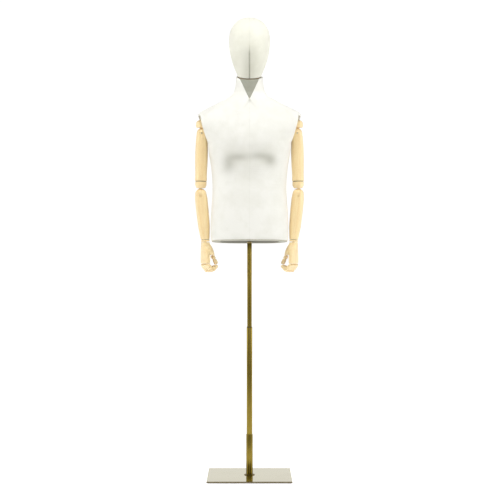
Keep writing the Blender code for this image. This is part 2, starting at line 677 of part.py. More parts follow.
def build_upper_arm(hand, frame, upright, across):
    """The turned upper arm. Returns it in place, for the elbow to follow."""
    r, length = UPPER_ARM_RADIUS, UPPER_ARM_LENGTH
    profile = dome(SHOULDER_DOME) + [
        (r * 0.945, -length * 0.20), (r, -length * 0.42), (r * 0.985, -length * 0.62),
        (r * 0.925, -length * 0.90), (r * 0.945, -length * 0.97), (r * 0.92, -length), (0, -length)]
    arm = turned(f"{hand}_upper_arm", profile, beech, frame, upright)
    fork(arm, f"{hand}_shoulder", SHOULDER_DOME, frame, across, "Y")
    bore = add_cutter(f"{hand}_elbow_peg_cutter",
                      rod_mesh("peg_bore", PEG_DIA / 2 + TURN_GAP, -length - 0.01, -length + PEG_LENGTH + 0.001),
                      frame, upright)
    apply_boolean(arm, bore, "DIFFERENCE")
    return upright @ move(z=-length)


def build_forearm(hand, raised, arm_end):
    """Elbow knuckle, forearm and wrist ring, and then the hand."""
    twist = Frame(f"joint.{hand}_elbow_twist", raised, arm_end)
    top = -ELBOW_GAP
    low = top - ELBOW_KNUCKLE_LENGTH
    r = UPPER_ARM_RADIUS * 0.905
    peg = PEG_DIA / 2
    knuckle = turned(f"{hand}_elbow_knuckle",
                     [(0, PEG_LENGTH), (peg, PEG_LENGTH), (peg, top), (r * 0.97, top), (r, top - 0.002),
                      (r * 0.985, top - 0.013), (r * 0.86, low + 0.0045), (r * 0.74, low), (r * 0.62, low + 0.001),
                      (0, low + 0.006)], beech, twist, arm_end)
    elbow = (arm_end @ move(z=low)).translation - Vector((0, 0, ELBOW_DROP))
    forearm = Matrix.Translation(elbow) @ turn_about("Y", FOREARM_LEAN)
    across = forearm @ turn_about("Y", 90)
    neck = add_cutter(f"{hand}_elbow_tongue_neck",
                      box_mesh("neck", (-TONGUE_THICK / 2, -TONGUE_NECK, 0),
                               (TONGUE_THICK / 2, TONGUE_NECK, ELBOW_DROP + 0.008)), twist, forearm)
    apply_boolean(knuckle, neck, "UNION")
    tongue(knuckle, f"{hand}_elbow", ELBOW_DOME, twist, across)
    add_pin(f"{hand}_elbow_pin", twist, across)

    bend = Frame(f"joint.{hand}_elbow_bend", twist, across)
    r, length = FOREARM_RADIUS, FOREARM_LENGTH
    profile = dome(ELBOW_DOME) + [
        (r, -0.020), (r, -length * 0.30), (r * 0.975, -length * 0.48), (r * 0.94, -length * 0.68),
        (r * 0.81, -length * 0.86), (WRIST_RADIUS * 1.02, -length * 0.98), (WRIST_RADIUS, -length), (0, -length)]
    limb = turned(f"{hand}_forearm", profile, beech, bend, forearm)
    fork(limb, f"{hand}_elbow", ELBOW_DOME, bend, across, "-X")
    dowel = PEG_DIA / 2 - 0.001
    bore = add_cutter(f"{hand}_wrist_peg_cutter",
                      rod_mesh("peg_bore", dowel + TURN_GAP, -length - 0.01, -length + PEG_LENGTH), bend, forearm)
    apply_boolean(limb, bore, "DIFFERENCE")

    wrist = Frame(f"joint.{hand}_wrist_twist", bend, forearm @ move(z=-length))
    ring_top = -0.0015
    ring_low = ring_top - RING_THICK
    radius = WRIST_RADIUS * 0.985
    turned(f"{hand}_wrist_ring",
           [(0, PEG_LENGTH - 0.001), (dowel, PEG_LENGTH - 0.001), (dowel, ring_top), (radius * 0.94, ring_top),
            (radius, ring_top - 0.001), (radius, ring_low + 0.001), (radius * 0.94, ring_low), (dowel, ring_low),
            (dowel, ring_low - 0.010), (0, ring_low - 0.010)], beech, wrist, forearm @ move(z=-length))
    palm_top = (forearm @ move(z=-length + ring_low)).translation
    palm_top.z -= HAND_GAP
    build_hand(hand, wrist, Matrix.Translation(palm_top) @ turn_about("Z", -HAND_YAW))


def build_hand(hand, wrist, place):
    """The palm with its thumb root, four fingers and the thumb. In place, -X is the palm's way."""
    t, b, length = PALM_HALF_THICK, PALM_HALF_BREADTH, PALM_LENGTH
    w = WRIST_RADIUS * 0.97
    rows = [
        (-length, 0, t * 0.92, b * 0.96, b * 0.96, 3.0, 0),
        (-length + 0.003, 0, t, b, b, 3.0, 0),
        (-length * 0.78, 0, t * 1.10, b, b, 2.8, 0),
        (-length * 0.55, 0, t * 1.22, b * 0.94, b * 0.94, 2.6, 0),
        (-length * 0.34, 0, t * 1.45, b * 0.80, b * 0.80, 2.3, 0),
        (-length * 0.15, 0, w * 1.02, w * 1.12, w * 1.12, 2.0, 0),
        (0, 0, w, w, w, 2.0, 0),
    ]
    palm = add(f"{hand}_palm", loft_mesh(f"{hand}_palm", rows, 20), beech, wrist, place, smooth=True)
    q = THENAR_RADIUS
    root_rows = [
        (-THENAR_LENGTH, THENAR_K, q, q * 0.95, q * 0.95, 2.6, 0),
        (-THENAR_LENGTH * 0.75, THENAR_K * 0.95, q, q, q, 2.3, 0),
        (-THENAR_LENGTH * 0.40, THENAR_K * 0.60, q * 0.96, q, q, 2.0, 0),
        (-THENAR_LENGTH * 0.12, THENAR_K * 0.20, q * 0.85, q * 0.9, q * 0.9, 2.0, 0),
    ]
    thenar = add_cutter(f"{hand}_thumb_root_shape", leaning_loft(root_rows), wrist, place)
    apply_boolean(palm, thenar, "UNION")
    peg_hole = add_cutter(f"{hand}_palm_peg_cutter",
                          rod_mesh("palm_peg", PEG_DIA / 2, -0.0125, 0.02, 16), wrist, place)
    apply_boolean(palm, peg_hole, "DIFFERENCE")

    knuckle_z = -length - FINGER_HALF_THICK - FINGER_CLEAR
    for i, (name, (curl, *lengths)) in enumerate(FINGERS.items()):
        across = (i - 1.5) * FINGER_PITCH
        root = place @ move(-KNUCKLE_P, across, knuckle_z) @ turn_about("Y", curl)
        build_digit(hand, name, wrist, root, lengths, FINGER_WIDTH, FINGER_FOLD)
    thumb = place @ move(-THUMB_P, THENAR_K, -THENAR_LENGTH - FINGER_HALF_THICK - FINGER_CLEAR)
    build_digit(hand, "thumb", wrist, thumb @ turn_about("Y", THUMB_ANGLE), THUMB_LENGTHS, THUMB_WIDTH, 0)


def leaning_loft(rows):
    """The thumb root: its sections move from the wrist out to the thumb's side of the palm."""
    mesh = loft_mesh("thumb_root", rows, 16)
    low, high = rows[0][0], rows[-1][0]
    near, far = THENAR_P
    for vert in mesh.vertices:
        share = (high - vert.co.z) / (high - low)
        vert.co.x -= near + (far - near) * share ** 0.7
    return mesh


def segment_mesh(name, length, width, last):
    """A finger piece along -Z: round on its joint, square at its far end."""
    half = FINGER_HALF_THICK
    end = length if last else length - half - FINGER_CLEAR
    outline = [(x, z) for x, z in arc(half, 180, 0, 6)]
    outline += [(half, -end), (-half, -end)]
    return prism_mesh(name, outline, -width / 2, width / 2)


def build_digit(hand, name, wrist, root, lengths, width, fold):
    """Two pieces, each on its own joint. The joint's Z is such that a positive turn closes it."""
    frame, place = wrist, root
    for piece_name, length, last in zip(("base", "tip"), lengths, (False, True)):
        if last:
            place = place @ move(z=-lengths[0]) @ turn_about("Y", fold)
        frame = Frame(f"joint.{hand}_{name}_{piece_name}", frame, place @ turn_about("X", -90))
        piece = add(f"{hand}_{name}_{piece_name}",
                    segment_mesh(f"{hand}_{name}_{piece_name}", length, width, last), beech, frame, place)
        eased = piece.modifiers.new("eased_edges", "BEVEL")
        eased.width = 0.0008
        eased.segments = 1
        eased.limit_method = "ANGLE"
        eased.angle_limit = math.radians(50)


for old in list(bpy.data.objects):
    bpy.data.objects.remove(old, do_unlink=True)

parts = new_collection("dress_form_mannequin")
cutters = new_collection("cutters")

mirror_gold = finish("mirror_champagne_gold", (0.76, 0.70, 0.52), 0.08, 1.0)
brushed_gold = finish("brushed_gold_steel", (0.46, 0.34, 0.10), 0.30, 1.0)
pale_brass = finish("pale_brass", (0.66, 0.55, 0.30), 0.30, 1.0)
zinc = finish("zinc_plated_steel", (0.60, 0.60, 0.58), 0.35, 1.0)
black_foam = finish("black_foam", (0.02, 0.02, 0.02), 0.9)
black_nylon = finish("black_nylon", (0.03, 0.03, 0.03), 0.5)
cotton = finish("off_white_cotton", (0.86, 0.86, 0.80), 0.9)
grey_cotton = finish("grey_cotton", (0.42, 0.42, 0.37), 0.9)
fibreglass = finish("fibreglass", (0.70, 0.68, 0.60), 0.6)
dark_board = finish("dark_board", (0.10, 0.10, 0.08), 0.8)
beech = finish("beech", (0.80, 0.58, 0.30), 0.45)

NECK_AXIS = Vector((0, -math.sin(math.radians(NECK_TILT)), math.cos(math.radians(NECK_TILT))))
NECK = Matrix.Translation(NECK_TOP) @ turn_about("X", NECK_TILT)
SLOPE = (SHOULDER_TIP - ARMPIT).normalized()
OUTWARD = SLOPE.cross(Vector((0, -1, 0)))
ARM_BOLT = Matrix.Translation(ARMPIT + SLOPE * BOLT_HEIGHT) @ turn_about("Y", 90 + math.degrees(math.atan2(-OUTWARD.z, OUTWARD.x)))

stand = Frame("stand")
mast = joint_frame("joint.height", stand, (0, 0, OUTER_TUBE_TOP_Z), (0, 0, 1))
torso = joint_frame("joint.torso_swivel", mast, (0, 0, INNER_TUBE_TOP_Z), (0, 0, 1))
head = Frame("joint.head_turn", torso, NECK)
left_side = Frame("left_side", torso)
right_side = Frame("right_side", torso)
right_side.empty.scale.x = -1

build_stand()
build_mast()
build_torso()
build_head()
build_arm("left", left_side)
build_arm("right", right_side)
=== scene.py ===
"""A half-body dress form with jointed beech arms on a telescopic stand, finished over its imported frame."""

import json
import math

import bmesh
import bpy
import numpy as np
from mathutils import Matrix, Vector


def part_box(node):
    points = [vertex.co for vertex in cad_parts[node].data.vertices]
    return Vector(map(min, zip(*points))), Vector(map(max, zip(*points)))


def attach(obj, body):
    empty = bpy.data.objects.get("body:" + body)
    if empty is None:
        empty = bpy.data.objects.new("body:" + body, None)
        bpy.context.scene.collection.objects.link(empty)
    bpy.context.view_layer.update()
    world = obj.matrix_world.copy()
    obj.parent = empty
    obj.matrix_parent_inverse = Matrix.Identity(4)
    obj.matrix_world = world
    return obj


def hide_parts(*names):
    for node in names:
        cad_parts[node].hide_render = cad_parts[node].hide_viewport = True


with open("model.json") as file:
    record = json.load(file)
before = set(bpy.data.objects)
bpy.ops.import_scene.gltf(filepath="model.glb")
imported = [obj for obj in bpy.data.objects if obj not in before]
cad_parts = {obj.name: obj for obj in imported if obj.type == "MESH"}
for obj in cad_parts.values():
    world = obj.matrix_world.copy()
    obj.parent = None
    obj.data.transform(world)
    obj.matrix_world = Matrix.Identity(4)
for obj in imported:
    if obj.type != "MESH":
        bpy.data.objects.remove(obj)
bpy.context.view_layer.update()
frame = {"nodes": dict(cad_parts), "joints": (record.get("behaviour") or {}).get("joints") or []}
nodes = frame["nodes"]
joints = {joint["name"]: joint for joint in frame["joints"]}

# ---------------------------------------------------------------- base plate and pad
# The plate is 5 mm steel, ground and polished to a mirror, then tinted champagne gold
# by vapour coating. It stands on a thin pad of closed-cell foam glued underneath.

PLATE_GOLD = "#B1A982"
PLATE_EDGE = "#6F6653"
PLATE_ROUGHNESS = 0.07
WIPE_MARK_SIZE = 0.09
FOAM_BLACK = "#17171A"
FOAM_CELL_SIZE = 0.0015


def linear(code):
    """An sRGB hex colour as linear RGBA."""
    steps = [int(code[i:i + 2], 16) / 255 for i in (1, 3, 5)]
    return (*[c / 12.92 if c <= 0.04045 else ((c + 0.055) / 1.055) ** 2.4 for c in steps], 1)


def new_finish(name):
    """An empty material."""
    finish = bpy.data.materials.new(name)
    finish.use_nodes = True
    finish.node_tree.nodes.clear()
    return finish


def add(finish, kind, inputs, stops=(), out=0, **settings):
    """Adds a shader node. Each input takes a value or another node's output, and out picks what it gives."""
    made = finish.node_tree.nodes.new("ShaderNode" + kind)
    for name, value in settings.items():
        setattr(made, name, value)
    for name, value in inputs.items():
        if isinstance(value, bpy.types.NodeSocket):
            finish.node_tree.links.new(value, made.inputs[name])
        else:
            made.inputs[name].default_value = value
    for i, (place, colour) in enumerate(stops):
        stop = made.color_ramp.elements[i] if i < 2 else made.color_ramp.elements.new(place)
        stop.position = place
        stop.color = linear(colour)
    return made.outputs[out] if len(made.outputs) else None


def coat_cad(node, finish):
    """Gives a CAD node whose shape is right its finish."""
    nodes[node].data.materials.clear()
    nodes[node].data.materials.append(finish)


def vapour_coated_mirror():
    """Mirror steel: sharp reflections, slightly duller where it was last wiped. Its side faces are a darker
    brown-grey than its top, set by which way they face.
    """
    finish = new_finish("champagne_mirror_steel")
    place = add(finish, "TexCoord", {}, out="Object")
    wiped = add(finish, "TexNoise", {"Vector": place, "Scale": 1 / WIPE_MARK_SIZE, "Detail": 3.0})
    dull = add(finish, "MapRange", {"Value": wiped, "From Min": 0.35, "From Max": 0.7,
                                    "To Min": PLATE_ROUGHNESS * 0.7, "To Max": PLATE_ROUGHNESS * 1.6})
    facing = add(finish, "SeparateXYZ", {0: add(finish, "NewGeometry", {}, out="True Normal")}, out=2)
    # The side faces take PLATE_EDGE and the top takes PLATE_GOLD, chosen by facing alone.
    colour = add(finish, "Mix", {0: facing, 6: linear(PLATE_EDGE), 7: linear(PLATE_GOLD)}, out=2,
                 data_type="RGBA")
    shader = add(finish, "BsdfPrincipled", {"Base Color": colour, "Metallic": 1.0, "Roughness": dull})
    add(finish, "OutputMaterial", {"Surface": shader})
    return finish


def skinned_foam():
    """Closed-cell foam: matt black with a fine pitted skin."""
    finish = new_finish("skinned_black_foam")
    place = add(finish, "TexCoord", {}, out="Object")
    cells = add(finish, "TexVoronoi", {"Vector": place, "Scale": 1 / FOAM_CELL_SIZE})
    pits = add(finish, "Bump", {"Height": cells, "Strength": 0.4, "Distance": 0.0003})
    shader = add(finish, "BsdfPrincipled", {"Base Color": linear(FOAM_BLACK), "Roughness": 0.9,
                                            "Normal": pits})
    add(finish, "OutputMaterial", {"Surface": shader})
    return finish


coat_cad("base_plate", vapour_coated_mirror())
coat_cad("base_pad", skinned_foam())

# ---------------------------------------------------------------- tubes and their fittings
# Flange, socket, tubes and lock screw are thin stainless steel, brushed along their
# length on a belt and tinted dark gold. The tubes telescope in a moulded nylon bush.

TUBE_GOLD = "#82702F"
TUBE_GOLD_WORN = "#98853F"
TUBE_ROUGHNESS = 0.27
BRUSH_LINE_WIDTH = 0.0012
BRUSH_LINE_LENGTH = 0.12
EDGE_ROUND = 0.0006
TURN_STEPS = 72
ZINC_GREY = "#B9B9B4"
NYLON_BLACK = "#1C1C1E"
FERRULE_BRASS = "#C2AE78"
GRIP_NOTCHES = 24


def brushed_metal(name, plain, worn, roughness, along="Z"):
    """Brushed metal: long fine lines that stretch the highlight, drawn coarser than a belt's grit."""
    finish = new_finish(name)
    place = add(finish, "TexCoord", {}, out="Object")
    fine, long = 1 / BRUSH_LINE_WIDTH, 1 / BRUSH_LINE_LENGTH
    stretch = [long if axis == along else fine for axis in "XYZ"]
    lines_at = add(finish, "Mapping", {"Vector": place, "Scale": stretch})
    lines = add(finish, "TexNoise", {"Vector": lines_at, "Scale": 1.0, "Detail": 2.0})
    colour = add(finish, "ValToRGB", {"Fac": lines}, stops=((0.3, plain), (0.8, worn)))
    rough = add(finish, "MapRange", {"Value": lines, "To Min": roughness * 0.8, "To Max": roughness * 1.25})
    scored = add(finish, "Bump", {"Height": lines, "Strength": 0.12, "Distance": 0.0002})
    shader = add(finish, "BsdfPrincipled", {"Base Color": colour, "Metallic": 1.0, "Roughness": rough,
                                            "Anisotropic": 0.5, "Normal": scored})
    add(finish, "OutputMaterial", {"Surface": shader})
    return finish


def moulded_nylon():
    """Injection-moulded nylon: dull black, with the fine even grain of its mould."""
    finish = new_finish("moulded_black_nylon")
    place = add(finish, "TexCoord", {}, out="Object")
    grain = add(finish, "TexNoise", {"Vector": place, "Scale": 900.0})
    spark = add(finish, "Bump", {"Height": grain, "Strength": 0.15, "Distance": 0.0001})
    shader = add(finish, "BsdfPrincipled", {"Base Color": linear(NYLON_BLACK), "Roughness": 0.45,
                                            "Normal": spark})
    add(finish, "OutputMaterial", {"Surface": shader})
    return finish


def tidy_mesh(bm, name, crease=35.0):
    """The bmesh as a mesh, smooth except along creases."""
    bmesh.ops.recalc_face_normals(bm, faces=bm.faces[:])
    mesh = bpy.data.meshes.new(name)
    bm.to_mesh(mesh)
    bm.free()
    mesh.polygons.foreach_set("use_smooth", [True] * len(mesh.polygons))
    mesh.set_sharp_from_angle(angle=math.radians(crease))
    return mesh


def turned_mesh(name, profile, closed=False, steps=TURN_STEPS, crease=35.0):
    """A (radius, height) profile turned round Z. An open one starts and ends on the axis."""
    bm = bmesh.new()
    rings = []
    for radius, height in profile:
        if radius < 1e-7:
            rings.append([bm.verts.new((0, 0, height))] * steps)
        else:
            turns = [2 * math.pi * i / steps for i in range(steps)]
            rings.append([bm.verts.new((radius * math.cos(a), radius * math.sin(a), height)) for a in turns])
    pairs = list(zip(rings, rings[1:]))
    if closed:
        pairs.append((rings[-1], rings[0]))
    for upper, lower in pairs:
        for i in range(steps):
            corners = dict.fromkeys((upper[i], upper[i - 1], lower[i - 1], lower[i]))
            if len(corners) > 2:
                bm.faces.new(corners)
    return tidy_mesh(bm, name, crease)


def eased(profile, size, closed=False):
    """The profile with each corner off the axis cut back twice, as a file leaves it."""
    points = [Vector(point) for point in profile]
    made = []
    for i, point in enumerate(points):
        ends = not closed and i in (0, len(points) - 1)
        if ends or point.x < 1e-7:
            made.append(tuple(point))
            continue
        before, after = points[i - 1] - point, points[(i + 1) % len(points)] - point
        reach = min(size, before.length * 0.4, after.length * 0.4)
        start, end = point + before.normalized() * reach, point + after.normalized() * reach
        middle = (start + end) / 4 + point / 2
        made += [tuple(start), tuple(middle), tuple(end)]
    return made


def fit(name, mesh, finish, body, slot, *stands_for, place=Matrix()):
    """A finished piece, set in its place, that moves with its body and stands for its CAD nodes."""
    piece = bpy.data.objects.new(name, mesh)
    bpy.context.scene.collection.objects.link(piece)
    piece.matrix_world = place
    mesh.materials.clear()
    mesh.materials.append(finish)
    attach(piece, body)
    if stands_for:
        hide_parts(*stands_for)
    return piece


def hole_in(mesh_holder, tools, operation="DIFFERENCE"):
    """Cuts or joins a piece with each tool for good, then removes the tools."""
    for tool in tools:
        cut = mesh_holder.modifiers.new("cut", "BOOLEAN")
        cut.object = tool
        cut.operation = operation
        cut.solver = "EXACT"
    bpy.context.view_layer.update()
    evaluated = mesh_holder.evaluated_get(bpy.context.evaluated_depsgraph_get())
    made = bpy.data.meshes.new_from_object(evaluated)
    mesh_holder.modifiers.clear()
    mesh_holder.data = made
    for tool in tools:
        bpy.data.objects.remove(tool, do_unlink=True)
    made.polygons.foreach_set("use_smooth", [True] * len(made.polygons))
    made.set_sharp_from_angle(angle=math.radians(35))
    return mesh_holder


def loose(mesh, place=Matrix()):
    """A mesh as an object that isn't on the form yet."""
    tool = bpy.data.objects.new(mesh.name, mesh)
    bpy.context.scene.collection.objects.link(tool)
    tool.matrix_world = place
    return tool


def box_mesh(name, low, high, easing=0.0):
    """A block between two corners, its edges eased if asked."""
    low, high = Vector(low), Vector(high)
    bm = bmesh.new()
    size = Matrix.Diagonal((*(high - low), 1))
    bmesh.ops.create_cube(bm, size=1, matrix=Matrix.Translation((low + high) / 2) @ size)
    if easing:
        bmesh.ops.bevel(bm, geom=bm.edges[:], offset=easing, segments=3, affect="EDGES", profile=0.5)
    return tidy_mesh(bm, name)


def span(node):
    """(outer radius, lowest z, highest z) of a turned CAD node on the stand's axis."""
    low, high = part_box(node)
    return high.x, low.z, high.z


def sleeve(outer, inner, low, high):
    """The profile of a plain tube with eased ends."""
    return eased([(outer, high), (outer, low), (inner, low), (inner, high)], EDGE_ROUND, closed=True)


brushed_gold = brushed_metal("brushed_gold_steel", TUBE_GOLD, TUBE_GOLD_WORN, TUBE_ROUGHNESS)
brass = brushed_metal("satin_brass", FERRULE_BRASS, "#D2C08C", 0.3)
zinc = brushed_metal("zinc_plated_steel", ZINC_GREY, "#CFCFCA", 0.38)
nylon = moulded_nylon()
GOLD, BRASS, ZINC, NYLON = "brushed_gold_steel", "pale_brass", "zinc_plated_steel", "black_nylon"

flange_radius, flange_low, flange_top = span("base_flange")
fit("flange", turned_mesh("flange", sleeve(flange_radius, 0.0063, flange_low, flange_top), True),
    brushed_gold, "base", GOLD, "base_flange")
socket_radius, socket_low, socket_top = span("base_socket")
outer_radius = -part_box("outer_tube")[0].x
outer_low, outer_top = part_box("outer_tube")[0].z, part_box("outer_tube")[1].z
tube_room = outer_radius + 0.0003
fit("socket", turned_mesh("socket", sleeve(socket_radius, tube_room, socket_low, socket_top), True),
    brushed_gold, "base", GOLD, "base_socket")
bush_radius, bush_low, bush_top = span("tube_bush")
inner_radius, inner_low, inner_top = span("inner_tube")
outer_line = sleeve(outer_radius, outer_radius - 0.001, outer_low, outer_top)
outer_tube = loose(turned_mesh("outer_tube", outer_line, True))

lock = joints["lock_turn"]
lock_place = Matrix.Translation(lock["pos_m"]) @ Matrix.Rotation(math.radians(-90), 4, "X")
boss_low = outer_radius - 0.0005 - lock["pos_m"][1]
boss_line = [(0, 0), (0.0050, 0), (0.0055, -0.0006), (0.0055, boss_low), (0, boss_low)]
boss = loose(turned_mesh("boss", boss_line), lock_place)
hole_in(outer_tube, [boss], "UNION")
room_line = [(0, 0.01), (0.003, 0.01), (0.003, -0.008), (0, -0.008)]
screw_room = loose(turned_mesh("screw_room", room_line), lock_place)
hole_in(outer_tube, [screw_room])
fit("outer_tube_finished", outer_tube.data, brushed_gold, "base", GOLD, "outer_tube")
bpy.data.objects.remove(outer_tube)
fit("bush", turned_mesh("bush", eased(
    [(bush_radius, bush_top), (bush_radius, outer_top + 0.0003),
     (outer_radius - 0.0013, outer_top + 0.0003), (outer_radius - 0.0013, bush_low),
     (inner_radius + 0.0003, bush_low), (inner_radius + 0.0003, bush_top)],
    0.0005, True), True), nylon, "base", NYLON, "tube_bush")
inner_line = sleeve(inner_radius, inner_radius - 0.0009, inner_low, inner_top)
fit("inner_tube_finished", turned_mesh("inner_tube", inner_line, True), brushed_gold, "mast", GOLD,
    "inner_tube")

head_low, head_high = 0.0006, 0.0075
lock_shank = [(0, head_high), (0.0075, head_high), (0.009, head_high - 0.001), (0.009, head_low + 0.001),
              (0.0082, head_low), (0.0025, head_low), (0.0025, inner_radius + 0.0004 - lock["pos_m"][1]),
              (0, inner_radius + 0.0004 - lock["pos_m"][1])]
lock_screw = loose(turned_mesh("lock_screw", eased(lock_shank, 0.0004)))
notches = []
for i in range(GRIP_NOTCHES):
    turn = Matrix.Rotation(2 * math.pi * i / GRIP_NOTCHES, 4, "Z")
    notches.append(loose(turned_mesh("notch", [(0, 0.009), (0.0006, 0.009), (0.0006, 0), (0, 0)], steps=8),
                         turn @ Matrix.Translation((0.0092, 0, 0))))
hole_in(lock_screw, notches)
fit("lock_screw_finished", lock_screw.data, brushed_gold, "lock", GOLD, "lock_screw", place=lock_place)
bpy.data.objects.remove(lock_screw)

ferrule_low = inner_top + 0.0003
flange_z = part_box("torso_spigot")[1].z
ferrule_top = ferrule_low + 0.0045
spigot_radius = inner_radius - 0.0012
spigot_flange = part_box("torso_spigot")[1].x
fit("ferrule_and_spigot", turned_mesh("ferrule", eased(
    [(0, flange_z), (spigot_flange, flange_z), (spigot_flange, flange_z - 0.004),
     (spigot_radius, flange_z - 0.004), (spigot_radius, ferrule_top), (inner_radius, ferrule_top),
     (inner_radius, ferrule_low),
     (spigot_radius, ferrule_low), (spigot_radius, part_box("torso_spigot")[0].z),
     (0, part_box("torso_spigot")[0].z)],
    0.0004)), brass, "torso", BRASS, "torso_spigot")
coat_cad("base_bolt", zinc)

# ---------------------------------------------------------------- torso cover
# The cover is off-white cotton, cut in two fronts and two backs, sewn down the middle
# and the sides, pulled over the shell and turned in under the bottom edge.

COTTON = "#EDECE5"
COTTON_SHADE = "#E6E5DC"
SEAM_SHADE = "#8F8E7C"
THREAD_PITCH = 0.0016
COVER_THICK = 0.0009
AROUND = 264
STATION_STEP = 0.0028
SEAM_HALF_WIDTH = 0.0011
SEAM_DEPTH = 0.0006
HEM_RADIUS = 0.009
HEM_TURN_IN = 0.034
BOTTOM_Z, BOTTOM_TILT = 0.899, -3.2
NECK_Z, NECK_Y, NECK_TILT = 1.5275, -0.006, 16.0
# z, centre y, half width, front depth, back depth, squareness, tilt of each section
TORSO_ROWS = [
    (BOTTOM_Z, 0, 0.1470, 0.104, 0.105, 2.6, BOTTOM_TILT),
    (0.935, 0, 0.1485, 0.104, 0.106, 2.5, BOTTOM_TILT / 2),
    (1.000, 0, 0.1468, 0.102, 0.100, 2.4, 0),
    (1.055, 0, 0.1430, 0.099, 0.090, 2.3, 0),
    (1.105, 0, 0.1410, 0.098, 0.085, 2.3, 0),
    (1.170, 0, 0.1450, 0.101, 0.088, 2.3, 0),
    (1.230, 0, 0.1535, 0.112, 0.096, 2.3, 0),
    (1.276, 0, 0.1600, 0.118, 0.103, 2.3, 0),
    (1.300, 0, 0.1840, 0.118, 0.106, 2.3, 0),
    (1.325, 0, 0.2050, 0.116, 0.108, 2.4, 0),
    (1.349, 0, 0.2150, 0.111, 0.108, 2.4, 0),
    (1.376, 0, 0.2070, 0.102, 0.106, 2.2, 0),
    (1.393, 0, 0.1900, 0.093, 0.103, 2.1, 0),
    (1.409, 0, 0.1600, 0.084, 0.098, 2.0, 0),
    (1.425, 0, 0.1270, 0.075, 0.092, 2.0, 0),
    (1.440, 0, 0.0990, 0.068, 0.084, 2.0, 0),
    (1.457, 0, 0.0700, 0.061, 0.074, 2.0, 0),
    (1.473, NECK_Y / 6, 0.0598, 0.057, 0.065, 2.0, NECK_TILT * 0.4),
    (1.497, NECK_Y * 0.6, 0.0538, 0.055, 0.058, 2.0, NECK_TILT * 0.75),
    (NECK_Z, NECK_Y, 0.0513, 0.055, 0.055, 2.0, NECK_TILT),
]


def faired(rows, stations):
    """Every column of the rows, drawn through as a fair curve that never overshoots."""
    rows = np.array(rows, float)
    z, values = rows[:, 0], rows[:, 1:]
    step = np.diff(z)[:, None]
    slope = np.diff(values, axis=0) / step
    lead = np.zeros_like(values)
    same = slope[:-1] * slope[1:] > 0
    mean = 2 * slope[:-1] * slope[1:] / np.where(same, slope[:-1] + slope[1:], 1)
    lead[1:-1] = np.where(same, mean, 0)
    lead[0], lead[-1] = slope[0], slope[-1]
    i = np.clip(np.searchsorted(z, stations, side="right") - 1, 0, len(z) - 2)
    t = ((stations - z[i]) / step[i, 0])[:, None]
    h = step[i]
    made = ((2 * t**3 - 3 * t**2 + 1) * values[i] + (t**3 - 2 * t**2 + t) * h * lead[i]
            + (3 * t**2 - 2 * t**3) * values[i + 1] + (t**3 - t**2) * h * lead[i + 1])
    return np.column_stack([stations, made])


def around_angles(count):
    """Angles round a section, closer together by the front and back seams."""
    plain = np.linspace(0, 2 * math.pi, count, endpoint=False)
    seams = [centre + side * math.radians(off) for centre in (math.pi / 2, 3 * math.pi / 2)
             for side in (-1, 1) for off in (0.25, 0.55, 0.9)]
    return np.sort(np.concatenate([plain, seams]))


def sections(rows, angles):
    """Grid of points, one ring for each row."""
    c, s = np.cos(angles), np.sin(angles)
    rings = []
    for z, middle, half, front, back, square, tilt in rows:
        x = half * np.sign(c) * np.abs(c) ** (2 / square)
        y = np.where(s > 0, back, front) * np.sign(s) * np.abs(s) ** (2 / square)
        lean = math.radians(tilt)
        rings.append(np.column_stack([x, middle + y * math.cos(lean), z + y * math.sin(lean)]))
    return np.array(rings)


def grid_normals(grid):
    """Outward direction at each point of a grid that closes round."""
    along = np.gradient(grid, axis=0)
    across = np.roll(grid, -1, axis=1) - np.roll(grid, 1, axis=1)
    out = np.cross(across, along)
    return out / np.maximum(np.linalg.norm(out, axis=2, keepdims=True), 1e-12)


def grid_mesh(name, grid, caps=(False, False), crease=60.0):
    """Quads over a grid that closes round, with its ends closed if asked."""
    rows, columns = grid.shape[:2]
    bm = bmesh.new()
    verts = [bm.verts.new(point) for point in grid.reshape(-1, 3)]
    for r in range(rows - 1):
        for c in range(columns):
            d = (c + 1) % columns
            corners = (r * columns + c, r * columns + d, (r + 1) * columns + d, (r + 1) * columns + c)
            bm.faces.new([verts[i] for i in corners])
    for cap, start in zip(caps, (0, (rows - 1) * columns)):
        if cap:
            bm.faces.new(verts[start:start + columns])
    return tidy_mesh(bm, name, crease)


def bump_at(grid, x, z, width, height, rise):
    """A soft round swelling on the front of a grid."""
    away = ((grid[..., 0] - x) / width) ** 2 + ((grid[..., 2] - z) / height) ** 2
    return rise * np.exp(-away) * (grid[..., 1] < 0)


def seam_groove(across, along, depth=SEAM_DEPTH, half=SEAM_HALF_WIDTH):
    """The dip of a pressed seam, its allowance standing up on both sides, slightly puckered."""
    pucker = 1 + 0.35 * np.sin(along * 2 * math.pi / 0.009)
    dip = -depth * np.exp(-((across / half) ** 2))
    fold = 0.35 * depth * np.exp(-(((np.abs(across) - 3 * half) / (1.3 * half)) ** 2))
    return (dip + fold) * pucker


def fold_line(grid, start, end, width, rise):
    """A pulled fold in the cloth, highest near its start and dying out to its end."""
    start, end = np.array(start), np.array(end)
    run = end - start
    offset = grid[..., ::2] - start
    along = offset @ run / (run @ run)
    away = np.abs(offset[..., 0] * run[1] - offset[..., 1] * run[0]) / np.linalg.norm(run)
    fade = np.clip(1 - along, 0, 1) * np.clip((along + 0.15) / 0.15, 0, 1)
    return rise * np.exp(-((away / width) ** 2)) * fade * (grid[..., 1] < 0)


def grey(mesh, share_at):
    """Stores the painted shade at each point of the cloth, for its finish to show."""
    places = np.array([vert.co for vert in mesh.vertices])
    marks = mesh.attributes.new("greyed", "FLOAT", "POINT")
    marks.data.foreach_set("value", share_at(*places.T).astype(np.float32))


